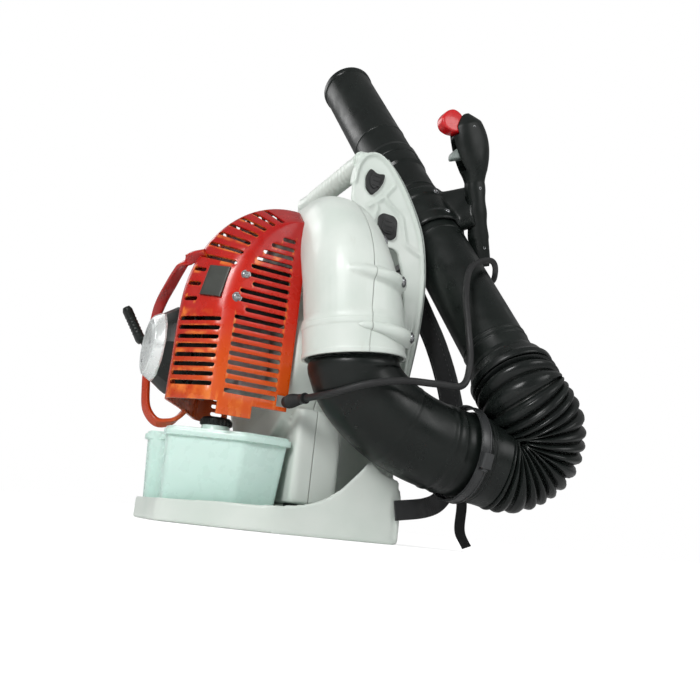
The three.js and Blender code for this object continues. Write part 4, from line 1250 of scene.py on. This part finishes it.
def hose():
    """A sleeve and then folds, which are pinched together at the inside of the bend."""
    foot = [TUBE_FOOT - TUBE_AXIS * d for d in (24, 1.5)]
    points = [(184.2, 220.5, 115.6), (186, 250, 111.5), (195, 286, 108), (210, 312, 130),
              (221, 310, 162)] + foot
    count = 520
    path = spline(points, count)
    ways = tangents(path)
    length = length_of(path)
    sleeve = 44
    folds = 19
    window = 60
    sides = 96
    outside = []
    inside = []
    for i in range(count):
        s = length * i / (count - 1)
        before, after = max(0, i - window), min(count - 1, i + window)
        bend = (ways[after] - ways[before]) / (length * (after - before) / (count - 1))
        toward_centre = bend.normalized() if bend.length > 1e-6 else ALONG_Z
        limit = 0.78 / max(bend.length, 1e-5)
        if s < sleeve:
            radius = 54.6 + (0.6 * math.cos(s * 1.2) if s < 14 else 0)
        else:
            phase = (s - sleeve) / (length - sleeve) * folds
            radius = 47.5 + 8.5 * abs(math.sin(math.pi * phase)) ** 0.7
        u, v = basis(ways[i])
        for ring_list, reach_out in ((outside, radius), (inside, TUBE_RADIUS)):
            ring = []
            for k in range(sides):
                angle = 2 * math.pi * k / sides
                direction = u * math.cos(angle) + v * math.sin(angle)
                leaning = direction.dot(toward_centre)
                reach = reach_out
                # Folds can't pass the centre of the bend, so they crowd together before it.
                if leaning > 0 and reach * leaning > limit:
                    reach = (limit + (reach * leaning - limit) * 0.12) / leaning
                ring.append(path[i] + direction * reach)
            ring_list.append(ring)
    outer = object_from("bellows", [loft(outside + inside[::-8] + inside[:1], caps=False, closed_path=True)])
    finish_piece(outer, HOSE, None, "rubber", ["pleated_hose"], 70)
    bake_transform(outer)


# ---------------------------------------------------------------- blow tube and nozzle
def blow_pipe():
    """The straight tube with its rings, and catches for the nozzle at its end."""
    radius = TUBE_RADIUS
    length = TUBE_LENGTH
    profile = [(TUBE_BORE, 0), (radius + 2, 0), (radius + 2, 29), (radius, 35)]
    for at in (52, 60, 262, 366):
        profile += [(radius, at - 2), (radius + 0.9, at - 1), (radius + 0.9, at + 1), (radius, at + 2)]
    profile += [(radius, length - 31), (radius + 2.5, length - 25), (radius + 2.5, length - 4),
                (radius + 1.8, length - 3), (radius + 1.8, length), (TUBE_BORE, length)]
    parts = [turned(profile, TUBE_FOOT, TUBE_AXIS, 112, corner=0.8)]
    u, v = basis(TUBE_AXIS)
    for k in range(3):
        out = u * math.cos(2.1 * k + 0.4) + v * math.sin(2.1 * k + 0.4)
        foot = TUBE_FOOT + out * (radius + 2.2)
        parts.append(sweep([foot + TUBE_AXIS * (length - 22), foot + TUBE_AXIS * (length - 7)],
                           lambda t: (1.2, 3), out, power=3, sides=16))
    piece("blow_pipe", parts, BLACK, "tube", "black", ["blow_tube"], 40)


def hose_cuff():
    """The collar that grips the hose's end round the tube."""
    radius = TUBE_RADIUS
    cuff = [(radius + 2.4, 3), (55, 3), (56, 5), (56, 11), (53, 15), (radius + 7, 22), (radius + 6, 25),
            (radius + 2.4, 25)]
    ring = turned(cuff, TUBE_FOOT, TUBE_AXIS, 96, corner=1.2)
    piece("hose_cuff", [ring], HOSE, "tube", "rubber", ["tube_cuff"])


def nozzle():
    radius = TUBE_RADIUS
    start = TUBE_LENGTH + 0.3
    end = start + NOZZLE_LENGTH
    profile = [(TUBE_BORE, start), (radius + 1.8, start), (radius + 2.5, start + 1.5),
               (radius + 2.5, start + 17), (radius + 0.5, start + 24), (radius + 0.5, start + 70),
               (radius + 1.3, start + 71), (radius + 1.3, start + 73), (radius + 0.5, start + 74),
               (radius + 0.5, end - 12), (radius + 2.0, end - 10), (radius + 2.2, end - 2),
               (radius + 1.4, end), (radius - 1.6, end), (TUBE_BORE, end - 30)]
    pipe_end = turned(profile, TUBE_FOOT, TUBE_AXIS, 112, corner=0.6)
    piece("nozzle_tube", [pipe_end], BLACK, "tube", "black", ["nozzle"], 40)


def bracket():
    """The clamp that holds the control handle on the tube."""
    middle = TUBE_FOOT + TUBE_AXIS * 312
    inner = TUBE_RADIUS + 1.2
    ring = [(inner, -38), (inner + 4, -38), (inner + 5, -34), (inner + 5, -20), (inner + 3.6, -18),
            (inner + 3.6, 18), (inner + 5, 20), (inner + 5, 34), (inner + 4, 38), (inner, 38)]
    arm = [Vector((50, 236, 486)), Vector((104, 272, 496))]
    path = spaced(arm, 40)
    holder = object_from("handle_clamp", [
        turned(ring, middle, TUBE_AXIS, 96, corner=0.6),
        sweep(path, lambda t: (14.5 - 2 * math.sin(math.pi * t), 41 - 7 * t), ALONG_Y, power=2.6, sides=40),
    ])
    melted(holder, 2.0, 3)
    cut(holder, [turned(disc(inner, -60, 60), middle, TUBE_AXIS, 96)], "MANIFOLD")
    path = spline(GRIP_PATH, 40)
    cut(holder, [sweep(path, lambda t: tuple(s + 0.4 for s in grip_size(t)), ALONG_Y, sides=40)], "MANIFOLD")
    finish_piece(holder, BLACK, "tube", "black", ["handle_bracket"], 50)
    out = (Vector((0, 1, 0)) - TUBE_AXIS * TUBE_AXIS.y).normalized()
    across = TUBE_AXIS.cross(out)
    bolts = []
    for s in (-24, 24):
        bolts += screw(middle + TUBE_AXIS * s - across * (inner + 4.4), -across, 4.2, 2.2)
    piece("clamp_bolts", bolts, BOLT, "tube", "steel")


# ---------------------------------------------------------------- control handle
def grip_size(t):
    """Half sizes of the grip, which swells into the head at its upper end."""
    head = max(0, t - 0.55) / 0.45
    swell = math.sin(math.pi * min(head * 0.86, 1))
    return 15.5 + 14.5 * swell, 14 + 7 * swell


def shell_size(t):
    """Half sizes of the handle's outside, with grooves for the fingers and rounded ends."""
    a, b = grip_size(t)
    fingers = 0.9 * math.sin(t * 40) if 0.18 < t < 0.62 else 0
    ends = min(1, 0.35 + 9 * (1 - t)) ** 0.6 * min(1, 0.75 + 6 * t) ** 0.6
    return (a - 0.6 + fingers) * ends, (b - 0.5) * ends


def handle_shells():
    """The handle's two halves, with openings for the trigger and the thumb lever."""
    path = spline(GRIP_PATH, 120)
    for side, word in ((1, "right"), (-1, "left")):
        shell = object_from(f"handle_half_{word}", [sweep(path, shell_size, ALONG_Y, power=2.3, sides=56)])
        lean = [(84, 380), (104, 486), (115, 545), (121, 600), (121, 680)]
        far = 115 + side * 90
        outline = [(far, 380)] + [(x + side * 0.2, z) for x, z in lean] + [(far, 680)]
        combine(shell, [loft([[Vector((x, y, z)) for x, z in outline] for y in (150, 360)])], "INTERSECT")
        cut(shell, [block((106, 200, 537), (122, 262, 581), 1, 4)])
        cut(shell, [block((111, 180, 584), (131, 232, 640), 1, 4)])
        bevelled(shell, 0.7)
        finish_piece(shell, BLACK, "tube", "black", [f"handle_shell_{word}"], 50)


def handle_controls():
    trigger = rounded([(259, 579), (246, 579), (226, 571), (216, 558), (217, 548), (228, 553), (244, 559),
                       (259, 562)], 5)
    piece("trigger_blade", [slab(trigger, "x", 107, 121, edge=2.5)], GREY, "trigger", "grey", ["trigger"])
    lever = rounded([(226, 590), (229, 598), (229, 606), (221, 620), (208, 624), (196, 617), (188, 603),
                     (192, 589), (205, 585.5)], 6)
    piece("speed_lever", [slab(lever, "x", 112, 130, edge=3)], RED, "thumb_lever", "red", ["throttle_lever"])


def handle_screws():
    path = spline(GRIP_PATH, 120)
    screws = []
    way = Vector((1, 0, -0.15)).normalized()
    for t in (0.12, 0.5, 0.9):
        point = path[round(t * (len(path) - 1))]
        screws += screw(point + way * (shell_size(t)[1] - 1.4), way, 2.8, 1.6)
    piece("handle_screws", screws, BOLT, "tube", "steel")


def throttle_cable():
    path = spline(CABLE_PATH, 240)
    sheath = sweep(path, lambda t: (4.2, 4.2), ALONG_X, sides=20)
    cable = piece("control_cable", [sheath], RUBBER, None, "rubber", ["throttle_cable"], 60)
    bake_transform(cable)
    ends = [Vector((121, 4, 152)), Vector((160, 12, 154))]

    def ribs(t):
        grooves = 0.9 * math.cos(t * 70) if 0.15 < t < 0.8 else 0.4
        taper = 1.3 * math.sin(6 * t)
        return 6.6 + taper + grooves, 6.4 + grooves

    boot = sweep(spaced(ends, 140), ribs, ALONG_Z, sides=32)
    piece("cable_boot", [boot], RUBBER, "frame", "rubber", ["cable_coupler"], 60)


# ---------------------------------------------------------------- harness
def back_pad():
    """The pad on the back plate, filled out by a cloth simulation."""
    source = frame["nodes"]["back_pad"]
    pad = bpy.data.objects.new("back_cushion", source.data.copy())
    bpy.context.scene.collection.objects.link(pad)
    centre = sum((v.co for v in pad.data.vertices), Vector()) / len(pad.data.vertices)
    for vertex in pad.data.vertices:
        offset = vertex.co - centre
        vertex.co = centre + Vector((offset.x * 0.95, offset.y * 0.9, offset.z * 0.95))
    modifier = pad.modifiers.new("skin", "REMESH")
    modifier.mode = "VOXEL"
    modifier.voxel_size = 5 * MM
    apply_modifiers(pad)
    cloth = pad.modifiers.new("cloth", "CLOTH")
    cloth.settings.use_pressure = True
    cloth.settings.uniform_pressure_force = 4
    cloth.settings.effector_weights.gravity = 0
    cloth.settings.quality = 6
    start = [v.co.copy() for v in pad.data.vertices]
    for step in range(1, 21):
        bpy.context.scene.frame_set(step)
    apply_modifiers(pad)
    for vertex, before in zip(pad.data.vertices, start):
        move = vertex.co - before
        if move.length > PAD_SWELL:
            vertex.co = before + move.normalized() * PAD_SWELL
    bpy.context.scene.frame_set(1)
    modifier = pad.modifiers.new("fine", "SUBSURF")
    modifier.levels = 1
    apply_modifiers(pad)
    finish_piece(pad, PADDING, "frame", "fabric", ["back_pad"], 80)


def padded_strap(path, side, word):
    """A flat padded strap with bound edges, rows of stitches and pulled-in seams."""
    line = spline([(x * side, y, z) for x, y, z in path], 150)
    across = Vector((side, 0.1, 0))
    rings = []
    ways = tangents(line)
    length = length_of(line)
    for i, (centre, way) in enumerate(zip(line, ways)):
        u = (across - way * across.dot(way)).normalized()
        v = way.cross(u)
        s = length * i / (len(line) - 1)
        close = min(1, 0.45 + min(s, length - s) / 14)
        ripple = 0.5 * math.sin(s * 0.35) * (1 - close * 0.5)
        ring = []
        for k in range(48):
            angle = 2 * math.pi * k / 48
            c, sn = math.cos(angle), math.sin(angle)
            a = 22 * math.copysign(abs(c) ** 0.55, c)
            crown = (1 - (abs(a) / 22) ** 4) ** 0.5 if abs(a) < 22 else 0
            seam = 1 - 0.5 * math.exp(-((abs(a) - 17.5) / 1.1) ** 2)
            b = math.copysign((0.9 + 4.0 * crown * seam) * close + ripple * 0.2, sn) if abs(sn) > 1e-6 else 0
            ring.append(centre + u * a + v * b)
        rings.append(ring)
    strap = piece(f"strap_{word}", [loft(rings)], PADDING, "frame", "fabric", [f"shoulder_strap_{word}"], 60)
    stitches = []
    for edge in (-15.5, 15.5):
        for i in range(6, len(line) - 6, 4):
            way = ways[i]
            u = (across - way * across.dot(way)).normalized()
            v = way.cross(u)
            for face in (1, -1):
                at = line[i] + u * edge + v * face * 4.4
                stitches.append(sweep([at - way * 1.4, at + way * 1.4], lambda t: (0.45, 0.3), u, sides=8))
    piece(f"strap_stitches_{word}", stitches, THREAD, "frame", "fabric")
    return line


def web(points, across, width, thickness, name, node):
    """Flat webbing with rolled edges."""
    band = sweep(spline(points, 110), lambda t: (width / 2, thickness / 2), across, power=7, sides=28)
    piece(name, [band], WEBBING, "frame", "fabric", [node], 60)


def harness():
    strap_path = [(48, 182, 428), (48, 191, 400), (48, 206, 368), (51, 228, 330), (57, 252, 285),
                  (64, 270, 235), (74, 277, 190), (86, 273, 156)]
    web_end = [(101, 252, 104), (112, 250, 84), (136, 224, 60), (153, 192, 48), (155, 148, 40)]
    tail_end = [(96, 281, 98), (100, 285, 60), (101, 284, 24), (106, 293, 5)]
    for side, word in ((1, "right"), (-1, "left")):
        line = padded_strap(strap_path, side, word)
        end = line[-1]
        down = (line[-1] - line[-3]).normalized()
        across = Vector((side, 0.1, 0))
        front = -down.cross(across).normalized() * side

        u = (across - down * across.dot(down)).normalized()

        def below(distance, forward):
            return end + down * distance + front * forward

        def plate(outline, z, half):
            """A flat outline across the webbing, `z` below the strap's end and twice `half` thick."""
            return loft([[end + u * x + down * (z + dz) + front * y for x, dz in outline]
                         for y in (-half, half)])

        body = rounded([(-18, 0.5), (18, 0.5), (16, 26), (-16, 26)], 4)
        buckle = object_from(f"buckle_{word}", [plate(body, 0, 6.2)])
        slot = rounded([(-13, -1.7), (13, -1.7), (13, 1.7), (-13, 1.7)], 1.2)
        cut(buckle, [plate(slot, z, 12) for z in (6.5, 13.5, 20.5)])
        bevelled(buckle, 1.0, segments=3, angle=40)
        finish_piece(buckle, BLACK, "frame", "black", [f"strap_buckle_{word}"], 45)

        def turning(t):
            return across.lerp(Vector((0, 0.25, -1)), min(1, t * 1.3))

        web_points = [below(27.5, -4.5), below(37, -7)] + [Vector((x * side, y, z)) for x, y, z in web_end]
        web(web_points, turning, 24, 2.6, f"webbing_{word}", f"lower_webbing_{word}")
        tail_points = [below(27.5, 4.5), below(37, 8)] + [Vector((x * side, y, z)) for x, y, z in tail_end]
        web(tail_points, across, 20, 1.8, f"tail_{word}", f"strap_tail_{word}")


# ---------------------------------------------------------------- camera, light and floor
def camera():
    right = Vector(CAMERA_RIGHT).normalized()
    forward = Vector(CAMERA_FORWARD)
    forward = (forward - right * forward.dot(right)).normalized()
    up = right.cross(forward)
    data = bpy.data.cameras.new("camera")
    data.lens = CAMERA_LENS
    data.sensor_width = 36
    data.clip_start = 0.002
    data.shift_x, data.shift_y = CAMERA_SHIFT
    obj = bpy.data.objects.new("camera", data)
    matrix = Matrix((right, up, -forward)).transposed().to_4x4()
    matrix.translation = Vector(CAMERA_PLACE)
    obj.matrix_world = matrix
    bpy.context.scene.collection.objects.link(obj)
    bpy.context.scene.camera = obj


def area_light(name, place, target, size, power, color=(1, 1, 1)):
    data = bpy.data.lights.new(name, "AREA")
    data.size = size
    data.energy = power
    data.color = color
    obj = bpy.data.objects.new(name, data)
    obj.location = place
    obj.rotation_euler = (Vector(target) - Vector(place)).to_track_quat("-Z", "Y").to_euler()
    bpy.context.scene.collection.objects.link(obj)


def studio():
    scene = bpy.context.scene
    scene.view_settings.view_transform = "Standard"
    world = bpy.data.worlds.new("studio")
    world.use_nodes = True
    tree = world.node_tree
    background = tree.nodes["Background"]
    background.inputs["Color"].default_value = (1, 1, 1, 1)
    # The backdrop is seen as white, and lights the object only softly.
    path = tree.nodes.new("ShaderNodeLightPath")
    strength = tree.nodes.new("ShaderNodeMapRange")
    strength.inputs["To Min"].default_value = 0.28
    strength.inputs["To Max"].default_value = 1.0
    tree.links.new(path.outputs["Is Camera Ray"], strength.inputs["Value"])
    tree.links.new(strength.outputs["Result"], background.inputs["Strength"])
    scene.world = world
    area_light("key", (1.4, -1.5, 1.3), (0, 0, 0.3), 0.7, 31)
    area_light("fill", (1.8, 1.1, 1.3), (0.1, 0.1, 0.3), 1.0, 10)
    area_light("rear", (-1.6, -1.0, 1.6), (0, 0, 0.4), 1.0, 12)
    floor_mesh = bpy.data.meshes.new("floor")
    far = 30
    floor_mesh.from_pydata([(-far, -far, 0), (far, -far, 0), (far, far, 0), (-far, far, 0)], [],
                           [(0, 1, 2, 3)])
    floor = bpy.data.objects.new("floor", floor_mesh)
    scene.collection.objects.link(floor)
    surface = Surface("floor_paper", (0.93, 0.93, 0.93), 0.9)
    surface.tint(surface.ramp(surface.noise(3, 2), 0.3, 0.7, 0, 0.3), (0.90, 0.90, 0.90))
    surface.shader.inputs["Emission Color"].default_value = (1, 1, 1, 1)
    # The paper brightens with distance, so that it runs into the backdrop without an edge.
    glow = surface.ramp(surface.coordinate("X"), -0.5, -3.0, 0.72, 1.0)
    seen = surface.add("ShaderNodeLightPath").outputs["Is Camera Ray"]
    surface.link(surface.math("MULTIPLY", seen, glow), surface.shader.inputs["Emission Strength"])
    floor_mesh.materials.append(surface.material)
    floor.location.z = -0.0005


camera()
throttle_cable()
back_plate()
carry_grip()
flank_rim_shade()
flank_inserts()
buffers()
fan_housing()
housing_screws()
intake_shade_liner()
engine_shroud()
shroud_trim()
starter_guard()
starter_housing()
starter_face()
pull_start()
fuel_tank()
filler_cap()
left_controls()
engine()
elbow()
clamp()
hose()
blow_pipe()
hose_cuff()
nozzle()
bracket()
handle_shells()
handle_controls()
handle_screws()
back_pad()
harness()
studio()
